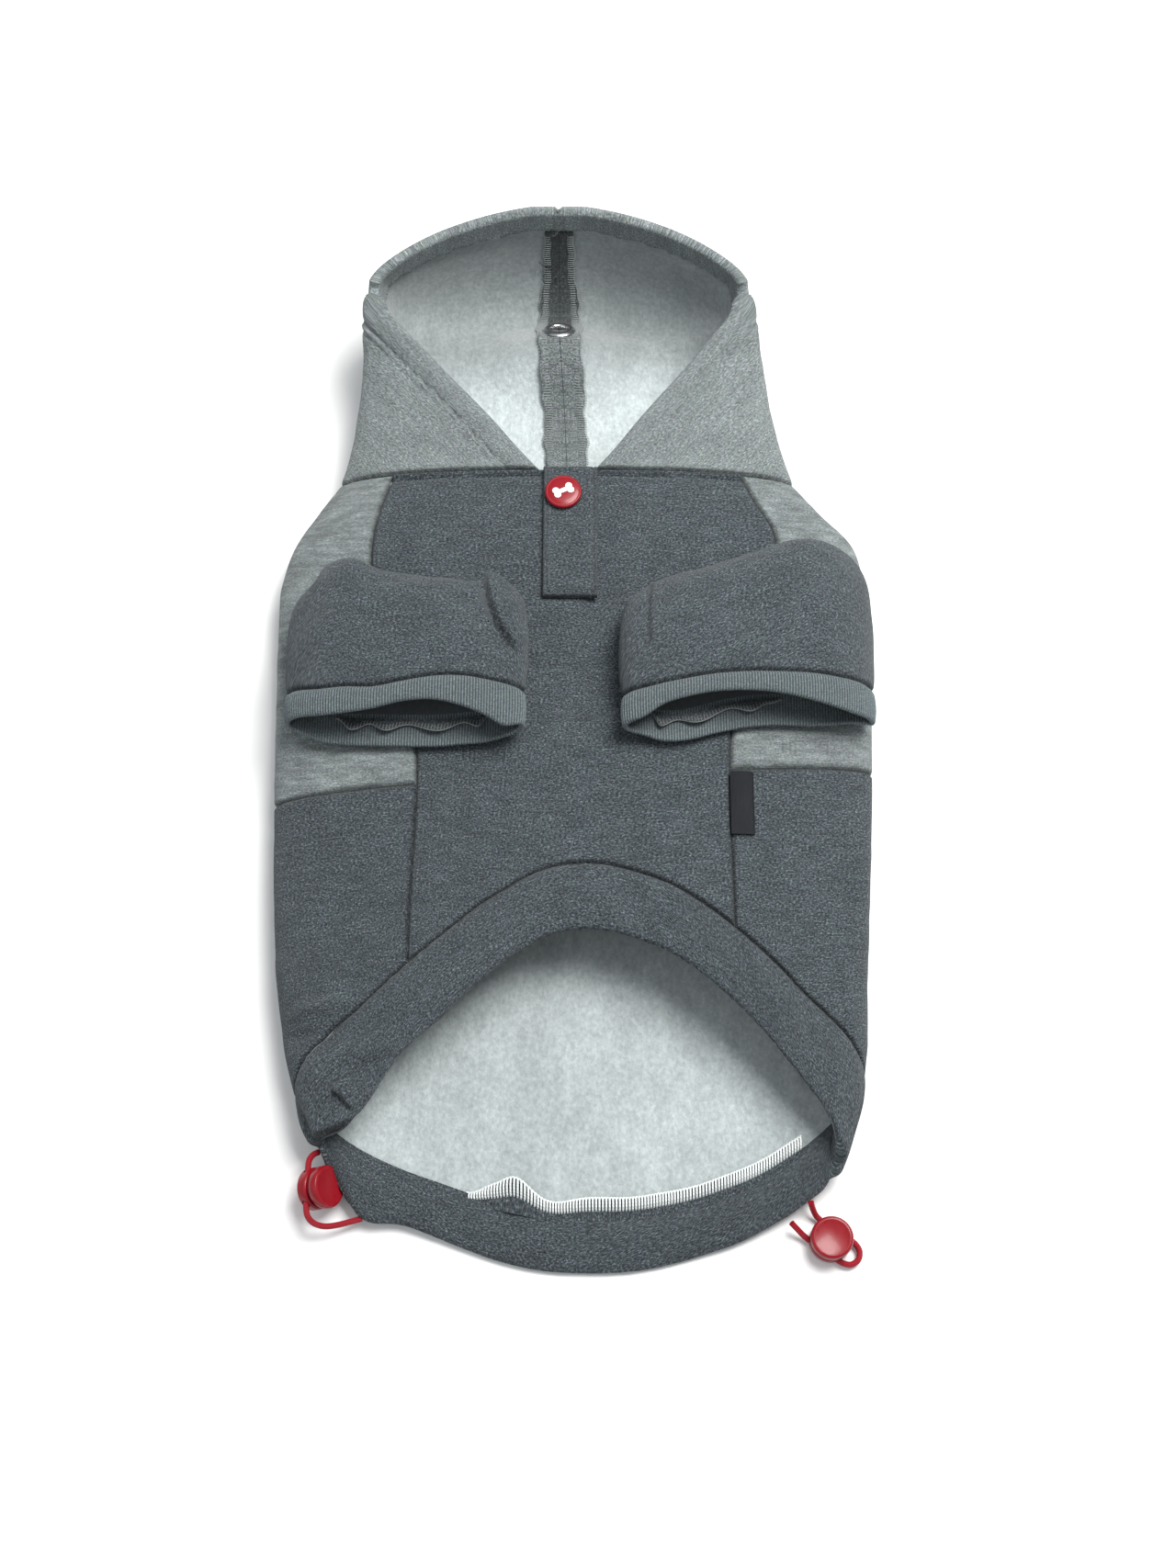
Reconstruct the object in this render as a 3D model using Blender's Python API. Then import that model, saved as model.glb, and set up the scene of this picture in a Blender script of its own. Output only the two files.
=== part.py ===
"""Dog hoodie lying on its back, belly side up, as an assembly of cloth panels and trims.

Run it with blender --background --python part.py, or from Blender's text editor. Lengths are in metres and +Z
is up. While the pieces are made, y is measured from the neck seam: positive towards the hood's crown, negative
towards the hem. The last step moves the whole hoodie so that its bounding box stands centred on the origin.
"""

import math
from collections import namedtuple

import bmesh
import bpy
import numpy as np
from mathutils import Matrix, Vector

# Main sizes of the garment as it lies
BACK_LENGTH = 0.353
CHEST_HALF_WIDTH = 0.133
NECK_HALF_WIDTH = 0.1048
BODY_HEIGHT = 0.038
HOOD_LENGTH = 0.082
TEMPLE_HALF_WIDTH = 0.0865
TEMPLE_HEIGHT = 0.054
RIM_HEIGHT = 0.058
CROWN_DEPTH = 0.044
CROWN_RISE = 0.004
CLOTH = 0.0025
GAP = 0.0003
SEAM_GAP = 0.0005

# Hood rim and the ridge across the inside of the hood
RIM_THICKNESS = 0.0048
RIM_WIDTH = 0.010
RIDGE_HEIGHT = 0.019
RIDGE_FROM_NECK = 0.076
RIDGE_HALF_WIDTH = 0.045

# Yoke, belly seams and hem band
YOKE_LENGTH = 0.151
YOKE_SKEW = 0.0075
HEM_BAND_WIDTH = 0.027
HEM_BAND_THICKNESS = 0.0060
HEM_BAND_PUFF = 0.0014
HEM_GAP = 0.0012
HEM_EDGE_SHARE = 0.66

# Sleeves and cuffs
ARMHOLE_FROM_NECK = 0.052
SLEEVE_REACH = 0.066
SLEEVE_HEIGHT = 0.025
SLEEVE_TUCK = 0.0040
CUFF_LENGTH = 0.0145
CUFF_WALL = 0.0021
CUFF_SWELL = 0.02
CUFF_DRAW = 0.85
SLEEVE_SQUARENESS = 0.85

# Placket, snap cap and label
PLACKET_CENTRE = -0.0017
PLACKET_WIDTH = 0.0245
PLACKET_LENGTH = 0.067
PLACKET_THICKNESS = 0.0028
SNAP_DIAMETER = 0.0165
SNAP_THICKNESS = 0.0026
SNAP_SHIFT = -0.0031
SNAP_FROM_NECK = 0.0157
LABEL_WIDTH = 0.0098
LABEL_LENGTH = 0.0285
LABEL_THICKNESS = 0.0012
LABEL_FROM_YOKE = 0.006

# Leash eyelet
EYELET_FROM_NECK = 0.0842
EYELET_DIAMETER = 0.0158
EYELET_BORE = 0.0094
EYELET_BARREL = 0.0112
EYELET_FLANGE = 0.0009
EYELET_GRIP = 0.0014

# Drawcord and cord locks
CORD_DIAMETER = 0.0025
CORD_STEP = 0.0030
LOCK_DIAMETER = 0.0172
LOCK_BASE_HEIGHT = 0.0050
LOCK_NECK_DIAMETER = 0.0142
LOCK_TRAVEL = 0.0015
LOCK_CAP_THICKNESS = 0.0018
LOCK_OVERLAP = 0.0008
LOCK_STEM_DIAMETER = 0.0040
LOCK_CHANNEL_OFFSET = 0.0048
LOCK_CHANNEL_HEIGHT = 0.0026
LOCK_CLEARANCE = 0.0003

# Steps over which a surface's slope is measured, in degrees round the body and in metres along it
NORMAL_TURN = 1.0
NORMAL_STEP = 0.001

# Superellipse powers of the body's section above and below its widest height, and of the hood's rim arch
TOP_POWER = 2.4
FLOOR_POWER = 2.6
ARCH_POWER = 1.6
FLOOR_SINK = 1.03
CROWN_FULLNESS = 0.75

# Share of the hood over which its wall leans to the middle of the hollow round each temple's corner, and how
# much of its thickness is left at the corner itself, where the cloth is folded hard
TEMPLE_BLEND = 0.6
TEMPLE_THINNING = 0.6

# Body sections from the neck seam to the hem. along: share of the back length. width: share of the way from the
# neck's half width to the chest's. shift: share of the chest's half width. side and top: shares of the body height.
Section = namedtuple("Section", "along width shift side top")
BODY = (
    Section(0.00, 0.00, -0.025, 0.45, 0.95),
    Section(0.04, 0.36, -0.018, 0.44, 0.97),
    Section(0.09, 0.81, 0.000, 0.43, 0.99),
    Section(0.15, 0.98, -0.003, 0.42, 1.00),
    Section(0.20, 1.00, 0.000, 0.42, 1.00),
    Section(0.41, 0.92, 0.000, 0.42, 1.00),
    Section(0.65, 0.72, -0.003, 0.43, 1.00),
    Section(0.76, 0.56, 0.010, 0.44, 1.00),
    Section(0.815, 0.40, 0.018, 0.45, 1.00),
    Section(0.86, 0.16, 0.022, 0.45, 0.98),
    Section(0.92, 0.00, 0.020, 0.42, 0.96),
    Section(0.96, -0.12, 0.020, 0.36, 0.94),
    Section(1.01, -0.28, 0.020, 0.30, 0.92),
)

# Hood sections from the neck seam to the temples. along: share of the hood length. width: share of the way from
# the neck's half width to the temple's. side and top: shares of the way from the neck's heights to the temple's
# and the rim's. shift: share of the chest's half width. rim: the rim's place across, as a share of the half width.
HoodSection = namedtuple("HoodSection", "along width shift side top rim")
HOOD = (
    HoodSection(0.00, 0.00, -0.025, 0.00, 0.00, 0.12),
    HoodSection(0.10, 0.13, -0.026, 0.03, 0.09, 0.20),
    HoodSection(0.32, 0.38, -0.030, 0.14, 0.32, 0.37),
    HoodSection(0.62, 0.61, -0.038, 0.38, 0.62, 0.63),
    HoodSection(0.80, 0.74, -0.046, 0.64, 0.86, 0.79),
    HoodSection(0.95, 0.92, -0.054, 0.93, 0.98, 0.92),
    HoodSection(1.00, 1.00, -0.056, 1.00, 1.00, 1.00),
)

# Hem edge round the body. turn: degrees from the belly's middle, positive to the right, 180 at the back's middle.
# edge: share of the back length. band: share of the hem band's width that the band measures along the body.
HemPoint = namedtuple("HemPoint", "turn edge band")
HEM = (
    HemPoint(-210, 0.980, 0.90),
    HemPoint(-180, 1.007, 0.90),
    HemPoint(-150, 0.966, 0.90),
    HemPoint(-130, 0.929, 0.92),
    HemPoint(-110, 0.886, 0.90),
    HemPoint(-90, 0.856, 0.84),
    HemPoint(-70, 0.838, 0.92),
    HemPoint(-50, 0.816, 1.04),
    HemPoint(-35, 0.783, 1.16),
    HemPoint(-22, 0.727, 1.22),
    HemPoint(-12, 0.675, 1.17),
    HemPoint(0, 0.624, 1.07),
    HemPoint(12, 0.642, 1.08),
    HemPoint(22, 0.679, 1.14),
    HemPoint(35, 0.740, 1.24),
    HemPoint(50, 0.806, 1.34),
    HemPoint(70, 0.856, 1.34),
    HemPoint(90, 0.888, 1.22),
    HemPoint(110, 0.914, 1.02),
    HemPoint(130, 0.947, 0.94),
    HemPoint(150, 0.980, 0.90),
    HemPoint(180, 1.007, 0.90),
    HemPoint(210, 0.966, 0.90),
)

# Belly seams. along: share of the back length. across: share of the section's half width.
SeamPoint = namedtuple("SeamPoint", "along across")
BELLY_SEAM = (
    SeamPoint(0.00, 0.757),
    SeamPoint(0.08, 0.715),
    SeamPoint(0.15, 0.680),
    SeamPoint(0.28, 0.575),
    SeamPoint(0.39, 0.517),
    SeamPoint(0.65, 0.545),
    SeamPoint(0.85, 0.560),
)

# Sleeve loops. upper and lower: places of the loop's upper and lower line along the body, as shares of the
# sleeve's reach from the armhole's top. rise and lay: their heights over the body, as shares of the sleeve's
# height. width: share of the sleeve's half width.
Loop = namedtuple("Loop", "upper rise lower lay width")
SLEEVE = (
    Loop(0.05, 0.00, 0.70, 0.00, 0.88),
    Loop(-0.01, 0.16, 0.72, 0.04, 0.90),
    Loop(-0.03, 0.42, 0.745, 0.08, 0.94),
    Loop(0.03, 0.70, 0.77, 0.09, 0.97),
    Loop(0.17, 0.90, 0.82, 0.09, 0.99),
    Loop(0.38, 1.00, 0.88, 0.09, 1.00),
    Loop(0.60, 1.03, 0.95, 0.09, 1.00),
    Loop(0.82, 1.01, 1.01, 0.10, 0.99),
    Loop(1.00, 0.97, 1.06, 0.11, 0.97),
)

# The two sleeves. centre and half_width: shares of the chest's half width. skew: how much higher, towards the
# neck, the sleeve's outer side lies, as a share of its reach.
Side = namedtuple("Side", "name sign centre half_width skew")
SIDES = (
    Side("left", -1, 0.545, 0.380, -0.04),
    Side("right", 1, 0.570, 0.404, 0.13),
)

# Broad folds and dents of the cloth. x: share of the chest's half width. y: share of the back length, from the
# neck seam. heading: degrees from +X. reach, breadth and height: shares of the chest's half width.
Fold = namedtuple("Fold", "x y heading reach breadth height")
FOLDS = (
    Fold(0.09, -0.20, 85, 0.28, 0.06, -0.020),
    Fold(0.00, -0.30, 0, 0.20, 0.14, -0.022),
    Fold(-0.70, -0.745, 8, 0.28, 0.07, -0.014),
    Fold(0.80, -0.640, 70, 0.30, 0.09, -0.014),
    Fold(-0.30, -0.47, 60, 0.30, 0.10, 0.012),
    Fold(0.28, -0.50, 110, 0.30, 0.10, 0.010),
)

# The drawcord's loop at each corner, as points chosen by hand: x, then y from the neck seam, then height
CORD_ROUTES = {
    "right": (
        (0.0973, -0.3279, 0.0084),
        (0.0982, -0.3300, 0.0060),
        (0.0994, -0.3320, 0.0037),
        (0.1011, -0.3337, 0.0026),
        (0.1034, -0.3353, 0.0026),
        (0.1066, -0.3375, 0.0026),
        (0.1095, -0.3395, 0.0026),
        (0.1124, -0.3416, 0.0026),
        (0.1150, -0.3434, 0.0025),
        (0.1169, -0.3464, 0.0023),
        (0.1163, -0.3500, 0.0022),
        (0.1132, -0.3520, 0.0023),
        (0.1096, -0.3513, 0.0025),
        (0.1068, -0.3494, 0.0026),
        (0.1039, -0.3473, 0.0026),
        (0.1010, -0.3453, 0.0026),
        (0.0982, -0.3433, 0.0026),
        (0.0955, -0.3414, 0.0027),
        (0.0934, -0.3397, 0.0038),
        (0.0913, -0.3379, 0.0055),
        (0.0892, -0.3361, 0.0072),
    ),
    "left": (
        (-0.1043, -0.3077, 0.0106),
        (-0.1064, -0.3092, 0.0120),
        (-0.1077, -0.3115, 0.0129),
        (-0.1080, -0.3144, 0.0130),
        (-0.1080, -0.3186, 0.0130),
        (-0.1080, -0.3228, 0.0130),
        (-0.1080, -0.3270, 0.0130),
        (-0.1080, -0.3308, 0.0129),
        (-0.1073, -0.3342, 0.0120),
        (-0.1050, -0.3366, 0.0098),
        (-0.1008, -0.3375, 0.0076),
        (-0.0958, -0.3367, 0.0062),
        (-0.0908, -0.3353, 0.0054),
        (-0.0860, -0.3340, 0.0056),
    ),
}

# Cord locks. x, y, z: centre of the foot. heading: degrees from +X of the cord channels. tilt: degrees from
# upright, and lean: the heading that it leans to.
Lock = namedtuple("Lock", "name x y z heading tilt lean")
LOCKS = (
    Lock("right", 0.1052, -0.3424, 0.0000, -35.0, 0.0, 0.0),
    Lock("left", -0.1073, -0.3225, 0.0075, -90.0, 53.0, 0.0),
)

# Facets along and across each kind of piece
BELLY_GRID = (16, 22)
YOKE_ROWS = 14
BACK_GRID = (26, 10)
HOOD_GRID = (11, 8, 6)
HOOD_ROW_CLUSTER = 1.5
BAND_ROWS = 3
SLEEVE_SIDES = 22
SIDE_CLUSTER = 2.2
SIDE_REACH = 0.07
SIDE_PLACES = (0.2, 0.8)
CUFF_ROWS = 2
PLACKET_GRID = (3, 10)
LABEL_GRID = (3, 7)
ROUND_SIDES = 16

# Colours and finishes
LIGHT_HEATHER = ("light_heather_cloth", (0.33, 0.36, 0.38), 0.95, 0.0)
DARK_HEATHER = ("dark_heather_cloth", (0.10, 0.12, 0.14), 0.95, 0.0)
RED_PLASTIC = ("red_plastic", (0.36, 0.008, 0.016), 0.30, 0.0)
RED_CORD = ("red_cord", (0.33, 0.010, 0.018), 0.55, 0.0)
STEEL = ("nickel_steel", (0.55, 0.55, 0.56), 0.25, 1.0)
BLACK_SATIN = ("black_satin", (0.006, 0.008, 0.012), 0.45, 0.0)


def read(rows, column, at):
    """A smooth curve through one column of a table, read at a value of the table's first column."""
    places = [row[0] for row in rows]
    values = [getattr(row, column) for row in rows]
    last = len(rows) - 1
    if at <= places[0]:
        return values[0]
    if at >= places[last]:
        return values[last]
    k = next(i for i in range(last) if at <= places[i + 1])
    step = places[k + 1] - places[k]

    def slope(i):
        low, high = max(i - 1, 0), min(i + 1, last)
        return (values[high] - values[low]) / (places[high] - places[low])

    t = (at - places[k]) / step
    return (
        values[k] * (1 + 2 * t) * (1 - t) ** 2
        + values[k + 1] * t * t * (3 - 2 * t)
        + slope(k) * step * t * (1 - t) ** 2
        - slope(k + 1) * step * t * t * (1 - t)
    )


def eased(t):
    """0 to 1 with flat ends."""
    t = min(max(t, 0.0), 1.0)
    return t * t * (3 - 2 * t)


def section(y):
    """Half width, sideways shift, height of the widest line and height of the top, at y from the neck seam."""
    neck_side = BODY[0].side * BODY_HEIGHT
    neck_top = BODY[0].top * BODY_HEIGHT
    if y <= 0:
        at = -y / BACK_LENGTH
        width = NECK_HALF_WIDTH + read(BODY, "width", at) * (CHEST_HALF_WIDTH - NECK_HALF_WIDTH)
        side = read(BODY, "side", at) * BODY_HEIGHT
        top = read(BODY, "top", at) * BODY_HEIGHT
        return width, read(BODY, "shift", at) * CHEST_HALF_WIDTH, side, top
    at = y / HOOD_LENGTH
    width = NECK_HALF_WIDTH + read(HOOD, "width", at) * (TEMPLE_HALF_WIDTH - NECK_HALF_WIDTH)
    side = neck_side + read(HOOD, "side", at) * (TEMPLE_HEIGHT - neck_side)
    top = neck_top + read(HOOD, "top", at) * (RIM_HEIGHT - neck_top)
    return width, read(HOOD, "shift", at) * CHEST_HALF_WIDTH, side, top


def fold_height(x, y):
    """Height that the broad folds add to the upper side of the body."""
    total = 0.0
    for fold in FOLDS:
        dx = x - fold.x * CHEST_HALF_WIDTH
        dy = y - fold.y * BACK_LENGTH
        c, s = math.cos(math.radians(fold.heading)), math.sin(math.radians(fold.heading))
        along = (dx * c + dy * s) / (fold.reach * CHEST_HALF_WIDTH)
        across = (dy * c - dx * s) / (fold.breadth * CHEST_HALF_WIDTH)
        total += fold.height * CHEST_HALF_WIDTH * math.exp(-along * along - across * across)
    return total


def ridge_height(x, y):
    """Height of the ridge across the inside of the hood, which falls off faster towards the crown."""
    shift = HOOD[-1].shift * CHEST_HALF_WIDTH
    across = (x - shift) / RIDGE_HALF_WIDTH
    along = y - RIDGE_FROM_NECK
    reach = HOOD_LENGTH * (0.24 if along < 0 else 0.11)
    return RIDGE_HEIGHT * math.exp(-across * across - (along / reach) ** 2)


def body_point(turn, y):
    """Outer surface of the body and of the hood's straight part. turn: degrees from the middle of the top."""
    width, shift, side, top = section(y)
    sine, cosine = math.sin(math.radians(turn)), math.cos(math.radians(turn))
    power = 2 / (TOP_POWER if cosine > 0 else FLOOR_POWER)
    x = shift + width * math.copysign(abs(sine) ** power, sine)
    if cosine > 0:
        level = abs(cosine) ** power
        return Vector((x, y, side + (top - side) * level + fold_height(x, y) * eased(level * 1.6)))
    z = max(side - FLOOR_SINK * side * abs(cosine) ** power, 0.0)
    if y > 0:
        z += ridge_height(x, y) * eased(-2 * cosine)
    return Vector((x, y, z))


def crown_point(turn, swing):
    """Outer surface of the hood's crown: the last section swung up about a line through the temples."""
    width, shift, side, _ = section(HOOD_LENGTH)
    sine, cosine = math.sin(math.radians(turn)), abs(math.cos(math.radians(turn)))
    power = 2 / (FLOOR_POWER + (ARCH_POWER - FLOOR_POWER) * swing / 90)
    out = math.sin(math.radians(swing)) ** CROWN_FULLNESS
    down = max(math.cos(math.radians(swing)), 0.0) ** CROWN_FULLNESS
    depth = RIM_HEIGHT - max(side - FLOOR_SINK * side * cosine**power, 0.0)
    x = shift + width * math.copysign(abs(sine) ** power, sine)
    y = HOOD_LENGTH + CROWN_DEPTH * out * depth / RIM_HEIGHT
    z = RIM_HEIGHT - depth * down + CROWN_RISE * cosine**power * (1 - down)
    return Vector((x, y, z + ridge_height(x, y) * down * eased(2 * cosine)))


def rim_turn(y):
    """The rim's place round the hood, in degrees from the middle of the top."""
    share = read(HOOD, "rim", y / HOOD_LENGTH)
    return math.degrees(math.asin(min(share, 1.0) ** (TOP_POWER / 2)))


def hood_place(sign, u, v):
    """Point and outward normal of one half of the hood. u runs from the rim to the centre seam. v runs from the
    neck to the temples at 1 and to the rim's top at 2."""
    shift = Vector((0.5 * sign * SEAM_GAP, 0.0, 0.0))
    if v <= 1:
        start = rim_turn(v * HOOD_LENGTH)
        turn = sign * (start + u * (180 - start))
        return body_point(turn, v * HOOD_LENGTH) + shift, body_normal(turn, v * HOOD_LENGTH)
    turn, swing = sign * (90 + 90 * u), 90 * (v - 1)
    return crown_point(turn, swing) + shift, crown_normal(turn, swing)


def seam_turn(y):
    """The belly seam's place round the body, in degrees from the middle of the belly."""
    share = read(BELLY_SEAM, "across", -y / BACK_LENGTH)
    return math.degrees(math.asin(share ** (TOP_POWER / 2)))


def hem_edge(turn):
    turn = (turn + 180) % 360 - 180
    return -BACK_LENGTH * read(HEM, "edge", turn)


def hem_seam(turn):
    turn_inside = (turn + 180) % 360 - 180
    return hem_edge(turn) + HEM_BAND_WIDTH * read(HEM, "band", turn_inside)


def yoke_edge(turn):
    return -YOKE_LENGTH + YOKE_SKEW * math.sin(math.radians(turn))


def top_turn(x, y):
    """Turn of the point of the upper side that lies at x and y."""
    width, shift, _, _ = section(y)
    across = (x - shift) / width
    return math.degrees(math.copysign(math.asin(min(abs(across), 1.0) ** (TOP_POWER / 2)), across))


def top_height(x, y):
    return body_point(top_turn(x, y), y).z


def bridged_height(x, y):
    """Height of the upper side where a stiffer strip lies on it, which bridges the dents."""
    height = top_height(x, y)
    return height - min(fold_height(x, y), 0.0)


def material(finish):
    name, colour, roughness, metallic = finish
    found = bpy.data.materials.get(name)
    if found:
        return found
    made = bpy.data.materials.new(name)
    made.use_nodes = True
    shader = made.node_tree.nodes["Principled BSDF"]
    shader.inputs["Base Color"].default_value = (*colour, 1.0)
    shader.inputs["Roughness"].default_value = roughness
    shader.inputs["Metallic"].default_value = metallic
    made.diffuse_color = (*colour, 1.0)
    return made


def link(name, data, finish, root):
    """An object of this data under the hoodie's root, with its own finish."""
    obj = bpy.data.objects.new(name, data)
    data.materials.append(material(finish))
    bpy.context.scene.collection.objects.link(obj)
    obj.parent = root
    return obj


def solid(name, points, faces, finish, root, sharp=40.0):
    """A closed mesh object with its faces turned outwards, smooth but for its sharp edges."""
    mesh = bpy.data.meshes.new(name)
    mesh.from_pydata([tuple(p) for p in points], [], faces)
    work = bmesh.new()
    work.from_mesh(mesh)
    bmesh.ops.remove_doubles(work, verts=work.verts, dist=1e-7)
    bmesh.ops.recalc_face_normals(work, faces=work.faces)
    work.to_mesh(mesh)
    work.free()
    mesh.shade_smooth()
    mesh.set_sharp_from_angle(angle=math.radians(sharp))
    return link(name, mesh, finish, root)


def shell_faces(columns, rows, ring):
    """Faces of a wall between an outer and an inner grid of points, with its rims. A ring closes round its columns."""
    inner = columns * rows
    spans = columns if ring else columns - 1
    faces = []
    for i in range(spans):
        k = (i + 1) % columns
        for j in range(rows - 1):
            a, b, c, d = i * rows + j, k * rows + j, k * rows + j + 1, i * rows + j + 1
            faces.append((a, b, c, d))
            faces.append((inner + d, inner + c, inner + b, inner + a))
        for j in (0, rows - 1):
            faces.append((i * rows + j, k * rows + j, inner + k * rows + j, inner + i * rows + j))
    if not ring:
        for i in (0, columns - 1):
            for j in range(rows - 1):
                a, b = i * rows + j, i * rows + j + 1
                faces.append((a, b, inner + b, inner + a))
    return faces


def outward(across, along, place, middle):
    """Unit normal of a surface from two of its directions, turned away from a point on its hollow side."""
    normal = across.cross(along).normalized()
    return normal if normal.dot(place - middle) > 0 else -normal


def body_normal(turn, y):
    _, shift, side, _ = section(y)
    across = body_point(turn + NORMAL_TURN, y) - body_point(turn - NORMAL_TURN, y)
    along = body_point(turn, y + NORMAL_STEP) - body_point(turn, y - NORMAL_STEP)
    return outward(across, along, body_point(turn, y), Vector((shift, y, side)))


def crown_normal(turn, swing):
    low, high = max(swing - NORMAL_TURN, 0.0), min(swing + NORMAL_TURN, 90.0)
    across = crown_point(turn + NORMAL_TURN, swing) - crown_point(turn - NORMAL_TURN, swing)
    along = crown_point(turn, high) - crown_point(turn, low)
    middle = Vector((HOOD[-1].shift * CHEST_HALF_WIDTH, HOOD_LENGTH, RIM_HEIGHT))
    return outward(across, along, crown_point(turn, swing), middle)


def spread(count, start=0.0, end=1.0):
    return [start + (end - start) * i / count for i in range(count + 1)]


def clustered(count):
    """Shares from 0 to 1 that lie closer together where the back wraps round the body's sides."""
    fine = np.linspace(0.0, 1.0, 2001)
    density = 1 + SIDE_CLUSTER * sum(np.exp(-(((fine - place) / SIDE_REACH) ** 2)) for place in SIDE_PLACES)
    total = np.concatenate(([0.0], np.cumsum(0.5 * (density[1:] + density[:-1]))))
    return [float(u) for u in np.interp(np.linspace(0, total[-1], count + 1), total, fine)]


def settle(turns, start, end, u, v):
    """Turn and y of the place at u across and v along a region of the body between two turns and two edges."""
    y = 0.5 * (start(0) + end(0))
    for _ in range(8):
        low, high = turns(y)
        turn = low + (high - low) * u
        y = start(turn) + (end(turn) - start(turn)) * v
    return turn, y


def flat_wall(_):
    return CLOTH


def flat_puff(_):
    return 0.0


def band_wall(v):
    """Thickness across the hem band, thinner at its two edges than in its middle."""
    return HEM_BAND_THICKNESS * (HEM_EDGE_SHARE + (1 - HEM_EDGE_SHARE) * math.sin(math.pi * v))


def band_puff(v):
    return HEM_BAND_PUFF * math.sin(math.pi * v)


def panel(name, region, us, rows, finish, root, wall=flat_wall, puff=flat_puff, ring=False, seam=SEAM_GAP):
    """A cloth panel of the body. region: functions for its two turns and its two edges. wall and puff: functions
    of the share of the way along. The panel ends half a seam gap inside its region."""
    turns, start, end = region

    def place(u, v):
        return body_point(*settle(turns, start, end, u, v))

    outer, inner = [], []
    breadth = sum((place(a, 0.5) - place(b, 0.5)).length for a, b in zip(us, us[1:]))
    for u in us:
        length = sum((place(u, a) - place(u, b)).length for a, b in zip(spread(4), spread(4)[1:]))
        for v in spread(rows):
            trim_u = 0.0 if ring else 0.5 * seam / breadth
            trim_v = 0.5 * seam / length
            at_u, at_v = trim_u + (1 - 2 * trim_u) * u, trim_v + (1 - 2 * trim_v) * v
            turn, y = settle(turns, start, end, at_u, at_v)
            point, normal = body_point(turn, y), body_normal(turn, y)
            out = point + normal * puff(at_v)
            out.z = max(out.z, 0.0)
            outer.append(out)
            inner.append(point - normal * (wall(at_v) - puff(at_v)))
    faces = shell_faces(len(us), rows + 1, ring)
    return solid(name, outer + inner, faces, finish, root)


def hood_half(name, sign, root):
    """One half of the hood, from its rim to the centre seam and from the neck to the rim's top."""
    columns, straight, crown = HOOD_GRID
    us = [t**1.15 for t in spread(columns)]
    vs = [1 - (1 - t) ** HOOD_ROW_CLUSTER for t in spread(straight)[:-1]] + spread(crown, 1.0, 2.0)

    breadth = 0.5 * math.pi * TEMPLE_HALF_WIDTH
    middle = Vector((HOOD[-1].shift * CHEST_HALF_WIDTH, HOOD_LENGTH, 0.5 * TEMPLE_HEIGHT))
    outer, inner = [], []
    for u in us:
        for v in vs:
            at_v = v + (1 - min(v, 1.0)) * 0.5 * SEAM_GAP / HOOD_LENGTH
            point, normal = hood_place(sign, u, at_v)
            corner = (1 - eased(u / TEMPLE_BLEND)) * (1 - eased(abs(v - 1) / TEMPLE_BLEND))
            normal = normal.lerp((point - middle).normalized(), corner).normalized()
            from_rim = min(u * breadth, (2 - at_v) * 1.5 * CROWN_DEPTH)
            wall = CLOTH + (RIM_THICKNESS - CLOTH) * (1 - eased(from_rim / RIM_WIDTH)) * (1 - corner)
            wall *= 1 - (1 - TEMPLE_THINNING) * corner
            outer.append(point)
            inner.append(point - normal * wall)
    return solid(name, outer + inner, shell_faces(len(us), len(vs), False), LIGHT_HEATHER, root)


def loop_points(side, loop, grow=0.0, sides=SLEEVE_SIDES, drop=0.0):
    """Points round one sleeve loop. grow widens it all round, and drop lowers it."""
    centre = side.sign * side.centre * CHEST_HALF_WIDTH
    half = side.half_width * CHEST_HALF_WIDTH * loop.width + grow
    points = []
    for k in range(sides):
        angle = 2 * math.pi * k / sides
        across = math.copysign(abs(math.cos(angle)) ** SLEEVE_SQUARENESS, math.cos(angle))
        up = math.copysign(abs(math.sin(angle)) ** SLEEVE_SQUARENESS, math.sin(angle))
        x = centre + half * across
        share = 0.5 + 0.5 * up
        along = loop.lower + (loop.upper - loop.lower) * share
        height = (loop.lay + (loop.rise - loop.lay) * share) * SLEEVE_HEIGHT
        slant = side.skew * across * side.sign * (1 - eased(loop.upper))
        y = -ARMHOLE_FROM_NECK - SLEEVE_REACH * (along - slant) + grow * up
        z = top_height(x, max(y, -BACK_LENGTH)) + height - drop
        points.append(Vector((x, y, z)))
    return points


def tube(name, loops, walls, finish, root):
    """A tube through loops of points, with its wall on the inside and both ends open."""
    count = len(loops[0])
    rows = len(loops)
    outer, inner = [], []
    for k in range(count):
        for j in range(rows):
            here = loops[j][k]
            along = loops[min(j + 1, rows - 1)][k] - loops[max(j - 1, 0)][k]
            around = loops[j][(k + 1) % count] - loops[j][(k - 1) % count]
            centre = sum(loops[j], Vector()) / count
            normal = around.cross(along).normalized()
            if normal.dot(here - centre) < 0:
                normal = -normal
            outer.append(here)
            inner.append(here - normal * walls[j])
    return solid(name, outer + inner, shell_faces(count, rows, True), finish, root)


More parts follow.
